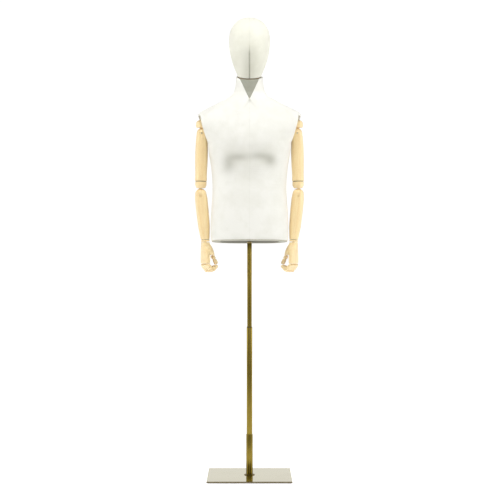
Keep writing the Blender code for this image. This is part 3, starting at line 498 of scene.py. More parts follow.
def plain_weave(name, light, shade, sheen):
    """Stretched plain-weave cotton: matt, with a soft sheen at the edge of the form. The threads are
    drawn at about three times their real pitch, so that they show."""
    finish = new_finish(name)
    place = add(finish, "TexCoord", {}, out="Object")
    threads = []
    for direction in ("X", "Z"):
        threads.append(add(finish, "TexWave", {"Vector": place, "Scale": 1 / THREAD_PITCH / 20,
                                               "Distortion": 1.5, "Detail": 2.0, "Detail Scale": 3.0},
                           wave_type="BANDS", bands_direction=direction))
    weave = add(finish, "Math", {0: threads[0], 1: threads[1]}, operation="ADD")
    slub = add(finish, "TexNoise", {"Vector": place, "Scale": 26.0, "Detail": 5.0, "Roughness": 0.6})
    cloud = add(finish, "TexNoise", {"Vector": place, "Scale": 7.0, "Detail": 2.0})
    mixed = add(finish, "Math", {0: slub, 1: cloud}, operation="MULTIPLY")
    colour = add(finish, "ValToRGB", {"Fac": mixed}, stops=((0.12, shade), (0.30, light)))
    # Painted shade: the cloth darkens towards SEAM_SHADE as far as this attribute says.
    greyed = add(finish, "Attribute", {}, out="Fac", attribute_name="greyed")
    colour = add(finish, "Mix", {0: greyed, 6: colour, 7: linear(SEAM_SHADE)}, out=2, data_type="RGBA")
    raised = add(finish, "Bump", {"Height": weave, "Strength": 0.10, "Distance": 0.0003})
    rumpled = add(finish, "Bump", {"Height": slub, "Strength": 0.10, "Distance": 0.0012, "Normal": raised})
    shader = add(finish, "BsdfPrincipled", {"Base Color": colour, "Roughness": 0.92, "Sheen Weight": sheen,
                                            "Sheen Roughness": 0.6, "Specular IOR Level": 0.25,
                                            "Normal": rumpled})
    add(finish, "OutputMaterial", {"Surface": shader})
    return finish


cotton = plain_weave("off_white_cotton", COTTON, COTTON_SHADE, 0.12)

angles = around_angles(AROUND)
stations = np.linspace(BOTTOM_Z, NECK_Z, int((NECK_Z - BOTTOM_Z) / STATION_STEP))
torso = sections(faired(TORSO_ROWS, stations), angles)
out = grid_normals(torso)
x, y, z = torso[..., 0], torso[..., 1], torso[..., 2]
front = y < 0
swell = sum(bump_at(torso, side * 0.070, 1.285, 0.064, 0.050, 0.0100) for side in (-1, 1))
swell -= sum(bump_at(torso, side * 0.062, 1.203, 0.046, 0.024, 0.0042) for side in (-1, 1))
swell += bump_at(torso, 0, 1.04, 0.085, 0.07, 0.002)
swell += seam_groove(x, z) * (front | (z < 1.50))
swell += seam_groove(np.where(np.abs(x) > 0.1, np.abs(y), 1.0), z) * (z < 1.27)
ripple = np.sin(z * 2 * math.pi / 0.0085 + 2.2 * np.sin(x * 31) + 9 * x)
swell += 0.00050 * ripple * np.exp(-(((z - 1.172) / 0.022) ** 2) - (x / 0.085) ** 2) * front
waist = np.exp(-(((z - 1.105) / 0.035) ** 2)) * (np.abs(x) > 0.07)
swell += 0.00022 * np.sin(z * 2 * math.pi / 0.012 + 14 * x) * waist
for side, low_x, low_z in ((-1, -0.034, 1.388), (1, 0.038, 1.396)):
    swell += fold_line(torso, (0.001 * side, 1.438), (low_x, low_z), 0.0060, 0.0028)
swell += fold_line(torso, (-0.050, 1.449), (-0.030, 1.4495), 0.0016, 0.0010)
torso = torso + out * swell[..., None]
torso_form, torso_out = torso.copy(), out

lean = math.radians(BOTTOM_TILT)
down = np.array([0, math.sin(lean), -math.cos(lean)])
bottom = torso[0]
middle = np.array([0, 0, BOTTOM_Z])
inward = middle - bottom
inward = inward / np.linalg.norm(inward, axis=1, keepdims=True)
hem = []
for turn in (0, 25, 50, 75, 90):
    turn = math.radians(turn)
    drop = 0.0012 - HEM_RADIUS * (1 - math.sin(turn))
    hem.append(bottom + inward * HEM_RADIUS * (1 - math.cos(turn)) + down * drop)
hem.append(hem[-1] + inward * (HEM_TURN_IN - HEM_RADIUS))
first = int(np.argmax(((torso - middle) @ down).max(axis=1) < -HEM_RADIUS - 0.0005))
torso = np.concatenate([np.array(hem[::-1]), torso[first:]])

top_middle = np.array([0, NECK_Y, NECK_Z])
lean = math.radians(NECK_TILT)
up = np.array([0, -math.sin(lean), math.cos(lean)])
to_middle = top_middle - torso[-1]
to_middle = to_middle / np.linalg.norm(to_middle, axis=1, keepdims=True)
rim = [torso[-1] + to_middle * 0.0004 + up * 0.0006, torso[-1] + to_middle * 0.0016 + up * 0.0010,
       torso[-1] + to_middle * 0.0055 + up * 0.0008]
torso = np.concatenate([torso, np.array(rim)])


def bolt_frame(side):
    """Where the shoulder bolt stands: its Z points out of the armhole, its X down it."""
    swing = joints[f"{side}_shoulder_swing"]
    axis = Vector(swing["axis"])
    way = 1 if side == "left" else -1
    outward = axis if axis.x * way > 0 else -axis
    across = Vector((0, way, 0))
    down_slope = across.cross(outward)
    return Matrix.Translation(swing["pos_m"]) @ Matrix((down_slope, across, outward)).transposed().to_4x4()


ARMHOLE_DROP = 0.0773
DISH = [(0, 0.05), (0.100, 0.05), (0.100, 0.004), (0.078, -0.0015), (0.0545, -0.0090), (0.035, -0.0145),
        (0.021, -0.0195), (0, -0.0195)]
POCKET_RADIUS, POCKET_DEPTH = 0.0235, 0.0268


def armhole_tools(side, depth):
    """The flat face, the dish the arm sweeps in and the pocket its bolt sits in, sunk by depth."""
    bolt = bolt_frame(side) @ Matrix.Translation((0, 0, -depth))
    way = 1 if side == "left" else -1
    dish = loose(turned_mesh("dish", DISH, steps=120), bolt)
    near, far = sorted((way * (0.001 + depth), way * 0.121))
    hole_in(dish, [loose(box_mesh("above", (-0.12, -0.121, -0.04), (-0.029 - depth, 0.121, 0.06)), bolt),
                   loose(box_mesh("behind", (-0.12, near, -0.04), (-0.017 - depth, far, 0.06)), bolt)])
    radius = POCKET_RADIUS + depth
    pocket = [(0, 0.04), (radius, 0.04), (radius, 0.0205 - POCKET_DEPTH), (radius - 0.004, -POCKET_DEPTH),
              (0, -POCKET_DEPTH)]
    face = box_mesh("face", (-0.06, -0.15, 0), (ARMHOLE_DROP + depth / 3, 0.15, 0.08))
    return [loose(face, bolt), dish, loose(turned_mesh("pocket", pocket), bolt)]


def cut_form(name, grid, depth):
    """The closed form with both armholes cut out of it, as a bmesh. Its cut faces carry material 1."""
    form = loose(grid_mesh(name, grid, caps=(True, True)))
    form.data.materials.append(cotton)
    form.data.materials.append(marker)
    for side in ("left", "right"):
        tools = armhole_tools(side, depth)
        for tool in tools:
            tool.data.materials.clear()
            tool.data.materials.append(marker)
        hole_in(form, tools)
    bm = bmesh.new()
    bm.from_mesh(form.data)
    marked = [i for i, material in enumerate(form.data.materials) if material == marker]
    for face in bm.faces:
        face.material_index = 1 if face.material_index in marked else 0
    bpy.data.objects.remove(form)
    caps = [face for face in bm.faces if len(face.verts) > 100]
    bmesh.ops.delete(bm, geom=caps, context="FACES")
    return bm


marker = new_finish("cut_marker")
bm = cut_form("torso_cover", torso, 0.0)
for face in bm.faces:
    face.material_index = 0

GUSSET_HALF, GUSSET_TOP, GUSSET_TIP = 0.0405, 1.524, 1.436


def open_gusset(bm, spare, keep_inside):
    """Cuts the V at the throat on two clean lines, and drops what is inside or outside it."""
    for side in (-1, 1):
        edge = Vector((side * GUSSET_HALF, 0, GUSSET_TOP - GUSSET_TIP)).normalized()
        across = Vector((edge.z, 0, -edge.x))
        near = [face for face in bm.faces if face.calc_center_median().y < -0.02
                and abs(face.calc_center_median().x) < 0.06
                and face.calc_center_median().z > GUSSET_TIP - 0.02]
        geom = near + list({e for face in near for e in face.edges})
        geom += list({v for face in near for v in face.verts})
        bmesh.ops.bisect_plane(bm, geom=geom, plane_co=(0, 0, GUSSET_TIP + spare), plane_no=across,
                               dist=1e-6)
    inside = []
    for face in bm.faces:
        centre = face.calc_center_median()
        room = (centre.z - GUSSET_TIP - spare) * GUSSET_HALF / (GUSSET_TOP - GUSSET_TIP)
        if (centre.y < -0.02 and centre.z > GUSSET_TIP and abs(centre.x) < room) != keep_inside:
            inside.append(face)
    bmesh.ops.delete(bm, geom=inside, context="FACES")


open_gusset(bm, 0.0, False)
cover_mesh = tidy_mesh(bm, "torso_cover_cloth", 38.0)


def torso_grey(x, y, z):
    """Painted shade under the chest, along the front seam, beside the folds from the throat and under the
    turned-in hem.
    """
    def patch(at_x, at_z, width, height):
        return np.exp(-(((x - at_x) / width) ** 2) - ((z - at_z) / height) ** 2)

    front = y < 0
    # Painted shade in the hollow under the chest, below the pectoral swell.
    under_chest_shade = 0.40 * patch(-0.078, 1.190, 0.024, 0.032) + 0.36 * patch(-0.040, 1.216, 0.034, 0.014)
    under_chest_shade += 0.33 * patch(0.040, 1.220, 0.036, 0.015) + 0.42 * patch(0.078, 1.204, 0.024, 0.022)
    under_chest_shade += 0.12 * patch(0.0, 1.180, 0.095, 0.040)
    # Painted shade in the groove of the front seam, below the throat.
    lines = 0.07 * np.exp(-((x / 0.0009) ** 2)) * (z < GUSSET_TIP)
    # Painted shade along one side of each pulled fold from the throat.
    for side, low_x, low_z in ((-1, -0.034, 1.388), (1, 0.038, 1.396)):
        start, run = np.array([0.0, 1.438]), np.array([low_x, low_z - 1.438])
        along = ((x - start[0]) * run[0] + (z - start[1]) * run[1]) / (run @ run)
        away = ((x - start[0]) * run[1] - (z - start[1]) * run[0]) / np.linalg.norm(run)
        beside = np.exp(-(((away - side * 0.003) / 0.004) ** 2))
        lines = lines + 0.16 * beside * np.clip(1 - along, 0, 1) * (along > 0)
    # Painted shade on the underside of the turned-in hem, which faces down.
    under = (y * down[1] + (z - BOTTOM_Z) * down[2]) / 0.004 + 1
    return np.clip((under_chest_shade + lines) * front, 0, 0.9) + 0.7 * np.clip(under, 0, 1)


grey(cover_mesh, torso_grey)
cloth = fit("torso_cover_cloth", cover_mesh, cotton, "torso", "off_white_cotton", "torso_cover")
thick = cloth.modifiers.new("cloth_thickness", "SOLIDIFY")
thick.thickness = COVER_THICK
thick.offset = -1

# ---------------------------------------------------------------- torso shell and board
# The shell under the cover is laid-up fibreglass, about 2 mm thick, with a pocket for
# each shoulder bolt. A painted board closes it below and a beech cap closes the neck.

SHELL_BUFF = "#C9C3AE"
SHELL_THICK = 0.0022
SHELL_INSET = 0.0016
BOARD_DARK = "#5A594B"
FIBRE_LENGTH = 0.012


def laid_fibreglass():
    """Fibreglass out of the mould: buff resin over a mat of short strands, with a dull shine."""
    finish = new_finish("laid_fibreglass")
    place = add(finish, "TexCoord", {}, out="Object")
    strands = add(finish, "TexVoronoi", {"Vector": place, "Scale": 1 / FIBRE_LENGTH},
                  feature="DISTANCE_TO_EDGE")
    colour = add(finish, "ValToRGB", {"Fac": strands}, stops=((0.0, "#B5AE97"), (0.3, SHELL_BUFF)))
    raised = add(finish, "Bump", {"Height": strands, "Strength": 0.2, "Distance": 0.0005})
    shader = add(finish, "BsdfPrincipled", {"Base Color": colour, "Roughness": 0.5, "Normal": raised})
    add(finish, "OutputMaterial", {"Surface": shader})
    return finish


def painted_board():
    """Plywood under one coat of dark matt paint: the brush marks run along X."""
    finish = new_finish("painted_board")
    place = add(finish, "TexCoord", {}, out="Object")
    along = add(finish, "Mapping", {"Vector": place, "Scale": (12.0, 260.0, 60.0)})
    strokes = add(finish, "TexNoise", {"Vector": along, "Scale": 1.0, "Detail": 3.0})
    colour = add(finish, "ValToRGB", {"Fac": strokes}, stops=((0.3, BOARD_DARK), (0.8, "#666556")))
    raised = add(finish, "Bump", {"Height": strokes, "Strength": 0.2, "Distance": 0.0003})
    shader = add(finish, "BsdfPrincipled", {"Base Color": colour, "Roughness": 0.8, "Normal": raised})
    add(finish, "OutputMaterial", {"Surface": shader})
    return finish


fibreglass = laid_fibreglass()
inner_form = (torso_form - torso_out * (SHELL_INSET + COVER_THICK))[::2, ::2]
bm = cut_form("torso_shell", inner_form, SHELL_INSET + COVER_THICK)
for face in bm.faces:
    face.material_index = 0
shell = fit("torso_shell_wall", tidy_mesh(bm, "torso_shell_wall", 38.0), fibreglass, "torso", "fibreglass",
            "torso_shell")
wall = shell.modifiers.new("wall", "SOLIDIFY")
wall.thickness = SHELL_THICK
wall.offset = -1
coat_cad("bottom_board", painted_board())

# ---------------------------------------------------------------- throat gusset
# A V of cotton is let into the front of the neck, stretched on the shell. It lies a
# little below the off-white cover, whose cut edges frame it. Its grey is painted shade,
# the shadow under the chin.

GUSSET_PAINTED_SHADE = "#A2A294"
GUSSET_INSET = 0.0007

# Both greys of this cotton are painted shade: the shadow under the chin on the throat panel.
grey_cotton = plain_weave("grey_cotton", GUSSET_PAINTED_SHADE, "#98988A", 0.1)
neck_stations = np.linspace(GUSSET_TIP - 0.006, NECK_Z, 60)
neck_front = sections(faired(TORSO_ROWS, neck_stations), around_angles(AROUND))
neck_front = neck_front - grid_normals(neck_front) * GUSSET_INSET
gusset_bm = bmesh.new()
gusset_bm.from_mesh(grid_mesh("throat_gusset", neck_front))
open_gusset(gusset_bm, 0.0010, True)
gusset = fit("throat_gusset_cloth", tidy_mesh(gusset_bm, "throat_gusset_cloth", 38.0), grey_cotton, "torso",
             "grey_cotton", "throat_gusset")
thick = gusset.modifiers.new("cloth_thickness", "SOLIDIFY")
thick.thickness = 0.0007
thick.offset = -1


def rope_mesh(name, points, radius, steps=10, closed=False):
    """A round cord along points."""
    points = [Vector(p) for p in points]
    bm = bmesh.new()
    rings = []
    side = None
    count = len(points)
    for i, p in enumerate(points):
        after = points[(i + 1) % count] if closed or i < count - 1 else p
        before = points[i - 1] if closed or i > 0 else p
        way = (after - before).normalized()
        if side is None:
            side = way.orthogonal().normalized()
        side = (side - way * side.dot(way)).normalized()
        other = way.cross(side)
        rings.append([bm.verts.new(p + radius * (side * math.cos(a) + other * math.sin(a)))
                      for a in (2 * math.pi * k / steps for k in range(steps))])
    pairs = list(zip(rings, rings[1:])) + ([(rings[-1], rings[0])] if closed else [])
    for one, two in pairs:
        for k in range(steps):
            bm.faces.new((one[k], one[k - 1], two[k - 1], two[k]))
    if not closed:
        bm.faces.new(rings[0])
        bm.faces.new(rings[-1])
    return tidy_mesh(bm, name, 60.0)


# ---------------------------------------------------------------- head
# A faceless egg of fibreglass under the same cotton, sewn up the middle. The lower half
# of the front seam is closed by hand, with stitches that show.

HEAD_ROWS_Z = [
    (1.553, -0.007, 0.0540, 0.063, 0.060, 2.0, NECK_TILT * 0.75),
    (1.578, -0.007, 0.0635, 0.077, 0.072, 2.0, NECK_TILT * 0.5),
    (1.608, -0.006, 0.0718, 0.089, 0.084, 2.0, NECK_TILT * 0.25),
    (1.640, -0.005, 0.0773, 0.098, 0.093, 2.0, 0),
    (1.671, -0.004, 0.0785, 0.1005, 0.098, 2.0, 0),
    (1.700, -0.003, 0.0742, 0.095, 0.096, 2.0, 0),
    (1.724, -0.002, 0.0628, 0.081, 0.083, 2.0, 0),
    (1.741, -0.001, 0.0463, 0.060, 0.062, 2.0, 0),
    (1.751, 0, 0.0271, 0.035, 0.036, 2.0, 0),
    (1.755, 0, 0.00785, 0.010, 0.010, 2.0, 0),
    (1.7553, 0, 0.0006, 0.0008, 0.0008, 2.0, 0),
]
HEAD_RISE = 0.0034
HEAD_CLOTH = 0.0009
HEAD_LINES = 200
STITCH_PITCH = 0.0042
STITCH_LENGTH = 0.0036
STITCH_RADIUS = 0.00028

neck_axis = Vector(up.tolist())
rim_place = Vector(top_middle.tolist()) + neck_axis * HEAD_RISE
head_rows = [(rim_place.z, rim_place.y, 0.0445, 0.053, 0.053, 2.0, NECK_TILT)] + HEAD_ROWS_Z
travel = [0.0]
for low_row, high_row in zip(head_rows, head_rows[1:]):
    travel.append(travel[-1] + math.hypot(high_row[0] - low_row[0], high_row[2] - low_row[2]))
head_table = [(t, *row) for t, row in zip(travel, head_rows)]
head_lines = faired(head_table, np.linspace(0, travel[-1], HEAD_LINES))[:, 1:]
head_angles = around_angles(220)
head_grid = sections(head_lines, head_angles)
head_out = grid_normals(head_grid)
hx, hy, hz = head_grid[..., 0], head_grid[..., 1], head_grid[..., 2]
lower_half = np.clip((1.640 - hz) / 0.02, 0, 1) * (hy < 0)
rise = seam_groove(hx, hz, 0.00045, 0.0009) * (1 + 1.6 * lower_half)
pulled = np.exp(-((np.abs(hx) / 0.006) ** 2)) * lower_half
rise = rise + 0.00025 * np.sin(hz * 2 * math.pi / STITCH_PITCH) * pulled
rise = rise * np.clip((travel[-1] - np.linspace(0, travel[-1], HEAD_LINES)) / 0.02, 0, 1)[:, None]
head_grid = head_grid + head_out * rise[..., None]
head_rim = []
for tuck, lift in ((0.006, 0.0010), (0.0018, -0.0001), (0.0006, -0.0004)):
    ring = head_grid[0]
    centre = np.array(rim_place)
    inward = centre - ring
    inward = inward / np.linalg.norm(inward, axis=1, keepdims=True)
    head_rim.append(ring + inward * tuck + up * lift)
head_grid = np.concatenate([np.array(head_rim), head_grid])
# A darker, yellower copy of the cover cotton: painted shade for the head's olive shading.
shaded_head_cotton = plain_weave("off_white_head_cotton", "#E8E7DA", "#E0DFD0", 0.12)
head_mesh = grid_mesh("head_cover_cloth", head_grid, caps=(False, True))


def head_grey(x, y, z):
    """Painted shade in the open slit of the seam: faint on the brow, dark and dotted by the stitches below,
    with a haze over the lower front.
    """
    low = np.clip((1.640 - z) / 0.035, 0, 1)
    dots = 0.65 + 0.35 * np.sin(z * 2 * math.pi / STITCH_PITCH)
    line = np.exp(-((x / (0.0008 + 0.0014 * low)) ** 2)) * (0.10 + 0.80 * low * dots)
    # Painted shade over the lower front of the head, which faces down.
    haze = 0.24 * np.exp(-((x / 0.030) ** 2)) * low
    return np.clip(line + haze, 0, 0.95) * (y < 0)


grey(head_mesh, head_grey)
head_cloth = fit("head_cover_cloth", head_mesh, shaded_head_cotton, "head",
                 "off_white_cotton", "head_cover")
thick = head_cloth.modifiers.new("cloth_thickness", "SOLIDIFY")
thick.thickness = HEAD_CLOTH
thick.offset = -1

head_wall_grid = sections(head_lines[::3], np.linspace(0, 2 * math.pi, 120, endpoint=False))
head_wall_grid = head_wall_grid - grid_normals(head_wall_grid) * 0.0030
head_wall_mesh = grid_mesh("head_shell_wall", head_wall_grid, caps=(False, True))
head_wall = fit("head_shell_wall", head_wall_mesh, fibreglass, "head", "fibreglass", "head_shell")
wall = head_wall.modifiers.new("wall", "SOLIDIFY")
wall.thickness = SHELL_THICK
wall.offset = -1

thread = plain_weave("sewing_thread", "#D8D7C8", "#BDBBA8", 0.0)
stitch_bm = bmesh.new()
front_column = int(np.argmin(np.abs(head_angles - 3 * math.pi / 2)))
front_line = head_grid[:, front_column]
for level in np.arange(rim_place.z + 0.004, 1.636, STITCH_PITCH):
    y_here = float(np.interp(level, front_line[3:150, 2], front_line[3:150, 1]))
    bar = []
    for k in range(7):
        along = (k / 6 - 0.5) * STITCH_LENGTH
        arch = 0.0010 + 0.0004 * math.cos(math.pi * (k / 6 - 0.5))
        bar.append((along, y_here - arch, level + along * 0.35))
    mesh = rope_mesh("stitch", bar, STITCH_RADIUS, 6)
    stitch_bm.from_mesh(mesh)
    bpy.data.meshes.remove(mesh)
fit("head_stitches", tidy_mesh(stitch_bm, "head_stitches", 60.0), thread, "head", "off_white_cotton")

# ---------------------------------------------------------------- beech arms
# Upper arm, forearm, knuckles and wrist ring are beech, turned on a lathe, sanded along
# the grain and finished with clear satin lacquer. Each hinge is a tongue in a slot, on a pin.

BEECH_LIGHT = "#FAE6B6"
BEECH_MID = "#EFD097"
BEECH_FLECK = "#C79A5C"
RING_SPACING = 0.006
FLECK_LENGTH = 0.004
SHOULDER_DOME, ELBOW_DOME = 0.0205, 0.022
UPPER_LEAN, UPPER_LENGTH, UPPER_RADIUS = 1.2, 0.182, 0.0243
FORE_LEAN, FORE_LENGTH, FORE_RADIUS = 5.6, 0.1735, 0.0241
WRIST_RADIUS = 0.0166
TONGUE_HALF, SLOT_HALF, NECK_HALF = 0.0045, 0.0049, 0.008
PEG_RADIUS, PEG_LENGTH = 0.006, 0.018
PIN_RADIUS, PIN_HALF = 0.0025, 0.014
ELBOW_GAP, ELBOW_KNUCKLE = 0.0025, 0.0245
MIRROR = Matrix.Diagonal((-1, 1, 1, 1))


def lacquered_beech():
    """Beech: pale growth rings along the limb, crossed by short brown flecks, under a clear coat that shines
    softly and evenly."""
    finish = new_finish("lacquered_beech")
    place = add(finish, "TexCoord", {}, out="Object")
    number = add(finish, "ObjectInfo", {}, out="Random")
    apart = add(finish, "Math", {0: number, 1: 3.0}, operation="MULTIPLY")
    moved = add(finish, "VectorMath", {0: place, 1: apart}, operation="ADD")
    ring_map = add(finish, "Mapping", {"Vector": moved, "Scale": (1 / RING_SPACING, 1 / RING_SPACING, 5.0)})
    rings = add(finish, "TexNoise", {"Vector": ring_map, "Scale": 0.55, "Detail": 4.0, "Distortion": 0.6})
    fine_map = add(finish, "Mapping", {"Vector": moved, "Scale": (900.0, 900.0, 22.0)})
    fibres = add(finish, "TexNoise", {"Vector": fine_map, "Scale": 1.0, "Detail": 2.0})
    fleck_map = add(finish, "Mapping", {"Vector": moved, "Scale": (1100.0, 1100.0, 1 / FLECK_LENGTH)})
    flecks = add(finish, "TexVoronoi", {"Vector": fleck_map, "Scale": 1.0})
    both = add(finish, "Math", {0: rings, 1: fibres}, operation="MULTIPLY")
    wood = add(finish, "ValToRGB", {"Fac": both}, stops=((0.10, BEECH_MID), (0.42, BEECH_LIGHT)))
    fleck = add(finish, "MapRange", {"Value": flecks, "From Min": 0.10, "From Max": 0.28,
                                     "To Min": 0.55, "To Max": 0.0})
    flecked = add(finish, "Mix", {0: fleck, 6: wood, 7: linear(BEECH_FLECK)}, out=2, data_type="RGBA")
    raised = add(finish, "Bump", {"Height": fibres, "Strength": 0.05, "Distance": 0.0002})
    shader = add(finish, "BsdfPrincipled", {"Base Color": flecked, "Roughness": 0.42, "Normal": raised,
                                            "Coat Weight": 0.35, "Coat Roughness": 0.22})
    add(finish, "OutputMaterial", {"Surface": shader})
    return finish


def spin(axis, degrees):
    """A turn about one axis."""
    return Matrix.Rotation(math.radians(degrees), 4, axis)


def shift(x=0.0, y=0.0, z=0.0):
    """A move."""
    return Matrix.Translation((x, y, z))


def rounded(radius, start, end, count):
    """Points along an arc, from one angle to another in degrees."""
    turns = [math.radians(start + (end - start) * i / (count - 1)) for i in range(count)]
    return [(radius * math.cos(a), radius * math.sin(a)) for a in turns]


def flowing(points, count=48):
    """A fair line through (radius, height) points that run down a limb."""
    points = sorted((z, r) for r, z in points)
    line = faired(points, np.linspace(points[0][0], points[-1][0], count))
    return [(r, z) for z, r in line[::-1]]


def fit_pair(name, mesh, body, slot, place, finish=None, node=None):
    """The piece for the left arm, and its mirror image for the right."""
    finish = finish or beech
    node = node or name
    right_mesh = mesh.copy()
    right_mesh.transform(MIRROR)
    right_mesh.flip_normals()
    for side, made, stands in (("left", mesh, place), ("right", right_mesh, MIRROR @ place @ MIRROR)):
        on = body.format(side)
        fit(f"{side}_{name}_finished", made, finish, on, slot, f"{side}_{node}", place=stands)


def baked(holder):
    """The mesh of a loose piece, in the piece's own axes, with the piece removed."""
    mesh = holder.data
    bpy.data.objects.remove(holder)
    return mesh


def pin_hole(across, radius=PIN_RADIUS + 0.0004):
    """The drill for a hinge pin."""
    line = [(0, 0.05), (radius, 0.05), (radius, -0.05), (0, -0.05)]
    return loose(turned_mesh("pin_hole", line, steps=32), across)


def add_tongue(piece, radius, across, neck):
    """Joins a hinge tongue and its neck to a knuckle, and drills it for the pin."""
    rounded_edge = eased([(0, TONGUE_HALF), (radius - 0.0004, TONGUE_HALF), (radius - 0.0004, -TONGUE_HALF),
                          (0, -TONGUE_HALF)], 0.0005)
    hole_in(piece, [loose(turned_mesh("tongue", rounded_edge), across), neck], "UNION")
    return hole_in(piece, [pin_hole(across, PIN_RADIUS + 0.0003)])


def cut_fork(piece, radius, across, up):
    """Cuts the slot that a tongue turns in, and drills it for the pin."""
    low, wide = -NECK_HALF - 0.002, radius + 0.01
    corners = ((-wide, -wide, -SLOT_HALF), (-low, wide, SLOT_HALF)) if up == "-X" else \
        ((-wide, low, -SLOT_HALF), (wide, wide, SLOT_HALF))
    floor_radius = radius + 0.0004
    floor = [(0, SLOT_HALF), (floor_radius, SLOT_HALF), (floor_radius, -SLOT_HALF), (0, -SLOT_HALF)]
    slot = loose(box_mesh("slot", *corners), across)
    return hole_in(piece, [slot, loose(turned_mesh("slot_floor", floor), across), pin_hole(across)])


beech = lacquered_beech()
BEECH, UPPER, FORE = "beech", "{}_upper_arm", "{}_forearm"
shoulder = Vector(joints["left_shoulder_raise"]["pos_m"])
upright = Matrix.Translation(shoulder) @ spin("Y", -UPPER_LEAN)
across = upright @ spin("X", 90)
swing_x = joints["left_shoulder_swing"]["pos_m"][0]
r, low = 0.0202, SHOULDER_DOME + 0.0022
knuckle_place = Matrix.Translation((swing_x - 0.001, 0, shoulder.z))
knuckle_line = flowing([(r * 0.45, low + 0.0278), (r * 0.78, low + 0.0236), (r * 0.97, low + 0.0165),
                        (r, low + 0.0095), (r * 0.97, low + 0.001)], 24)
knuckle_line = [(0, low + 0.0290), (r * 0.22, low + 0.0287)] + knuckle_line + [
    (r * 0.94, low + 0.0002), (r * 0.90, low), (r * 0.84, low + 0.0004), (r * 0.80, low + 0.001),
    (0, low + 0.006)]
knuckle = loose(turned_mesh("shoulder_knuckle", knuckle_line), knuckle_place)
neck = loose(box_mesh("neck", (-NECK_HALF, -TONGUE_HALF, 0), (NECK_HALF, TONGUE_HALF, low + 0.010)), upright)
add_tongue(knuckle, SHOULDER_DOME, across, neck)
bolt_hole = [(0, -0.0065), (0.0045, -0.0065), (0.0045, -0.05), (0, -0.05)]
hole_in(knuckle, [loose(turned_mesh("bolt_hole", bolt_hole, steps=32), bolt_frame("left"))])
fit_pair("shoulder_knuckle", baked(knuckle), "{}_shoulder", BEECH, knuckle_place)

r, length = UPPER_RADIUS, UPPER_LENGTH
limb_line = flowing([(SHOULDER_DOME, 0), (r * 0.945, -length * 0.20), (r, -length * 0.42),
                     (r * 0.985, -length * 0.62), (r * 0.925, -length * 0.90), (r * 0.945, -length * 0.97),
                     (r * 0.945, -length + 0.0018)])
bore = PEG_RADIUS + 0.0005
limb_line = rounded(SHOULDER_DOME, 90, 6, 14) + limb_line + [
    (r * 0.925, -length + 0.0004), (r * 0.90, -length), (bore, -length),
    (bore, -length + PEG_LENGTH + 0.001), (0, -length + PEG_LENGTH + 0.001)]
upper = loose(turned_mesh("upper_arm", limb_line), upright)
cut_fork(upper, SHOULDER_DOME, across, "Y")
fit_pair("upper_arm", baked(upper), UPPER, BEECH, upright)
pin_line = eased([(0, PIN_HALF), (PIN_RADIUS, PIN_HALF), (PIN_RADIUS, -PIN_HALF), (0, -PIN_HALF)], 0.0004)
fit_pair("shoulder_pin", turned_mesh("shoulder_pin", pin_line, steps=32), "{}_shoulder", ZINC, across,
         zinc)

arm_end = upright @ shift(z=-UPPER_LENGTH)
elbow = Vector(joints["left_elbow_bend"]["pos_m"])
forearm = Matrix.Translation(elbow) @ spin("Y", FORE_LEAN)
across = forearm @ spin("Y", 90)
top, low, r = -ELBOW_GAP, -ELBOW_GAP - ELBOW_KNUCKLE, UPPER_RADIUS * 0.905
knuckle_line = [(0, PEG_LENGTH), (PEG_RADIUS, PEG_LENGTH), (PEG_RADIUS, top), (r * 0.93, top),
                (r * 0.97, top - 0.0004)]
knuckle_line += flowing([(r, top - 0.002), (r * 0.985, top - 0.013), (r * 0.86, low + 0.0045),
                         (r * 0.76, low + 0.0006)], 24)
knuckle_line += [(r * 0.73, low), (r * 0.67, low), (r * 0.62, low + 0.001), (0, low + 0.006)]
knuckle = loose(turned_mesh("elbow_knuckle", knuckle_line), arm_end)
neck = loose(box_mesh("neck", (-TONGUE_HALF, -NECK_HALF, 0), (TONGUE_HALF, NECK_HALF, 0.024 + 0.008)),
             forearm)
add_tongue(knuckle, ELBOW_DOME, across, neck)
fit_pair("elbow_knuckle", baked(knuckle), "{}_elbow", BEECH, arm_end)
fit_pair("elbow_pin", turned_mesh("elbow_pin", pin_line, steps=32), "{}_elbow", ZINC, across, zinc)


def fit_washer(name, body, place, radius, low, high, bore=PEG_RADIUS + 0.0002):
    """A thin black nylon washer, set back from the wood in a twist joint: painted shade, a dark part that
    darkens the joint's groove.
    """
    line = eased([(radius, high), (radius, low), (bore, low), (bore, high)], 0.0002, closed=True)
    for side, stands in (("left", place), ("right", MIRROR @ place @ MIRROR)):
        fit(f"{side}_{name}", turned_mesh(name, line, True), nylon, body.format(side), NYLON, place=stands)


fit_washer("elbow_washer", "{}_elbow", arm_end, UPPER_RADIUS * 0.84, -0.0022, -0.0003)
r, length, dowel = FORE_RADIUS, FORE_LENGTH, PEG_RADIUS - 0.001
limb_line = flowing([(ELBOW_DOME, 0), (r, -0.020), (r, -length * 0.30), (r * 0.975, -length * 0.48),
                     (r * 0.94, -length * 0.68), (r * 0.81, -length * 0.86),
                     (WRIST_RADIUS * 1.02, -length * 0.98), (WRIST_RADIUS, -length + 0.0008)], 60)
limb_line = rounded(ELBOW_DOME, 90, 6, 14) + limb_line + [
    (WRIST_RADIUS * 0.96, -length), (dowel + 0.0005, -length), (dowel + 0.0005, -length + PEG_LENGTH),
    (0, -length + PEG_LENGTH)]
lower = loose(turned_mesh("forearm", limb_line), forearm)
cut_fork(lower, ELBOW_DOME, across, "-X")
fit_pair("forearm", baked(lower), FORE, BEECH, forearm)

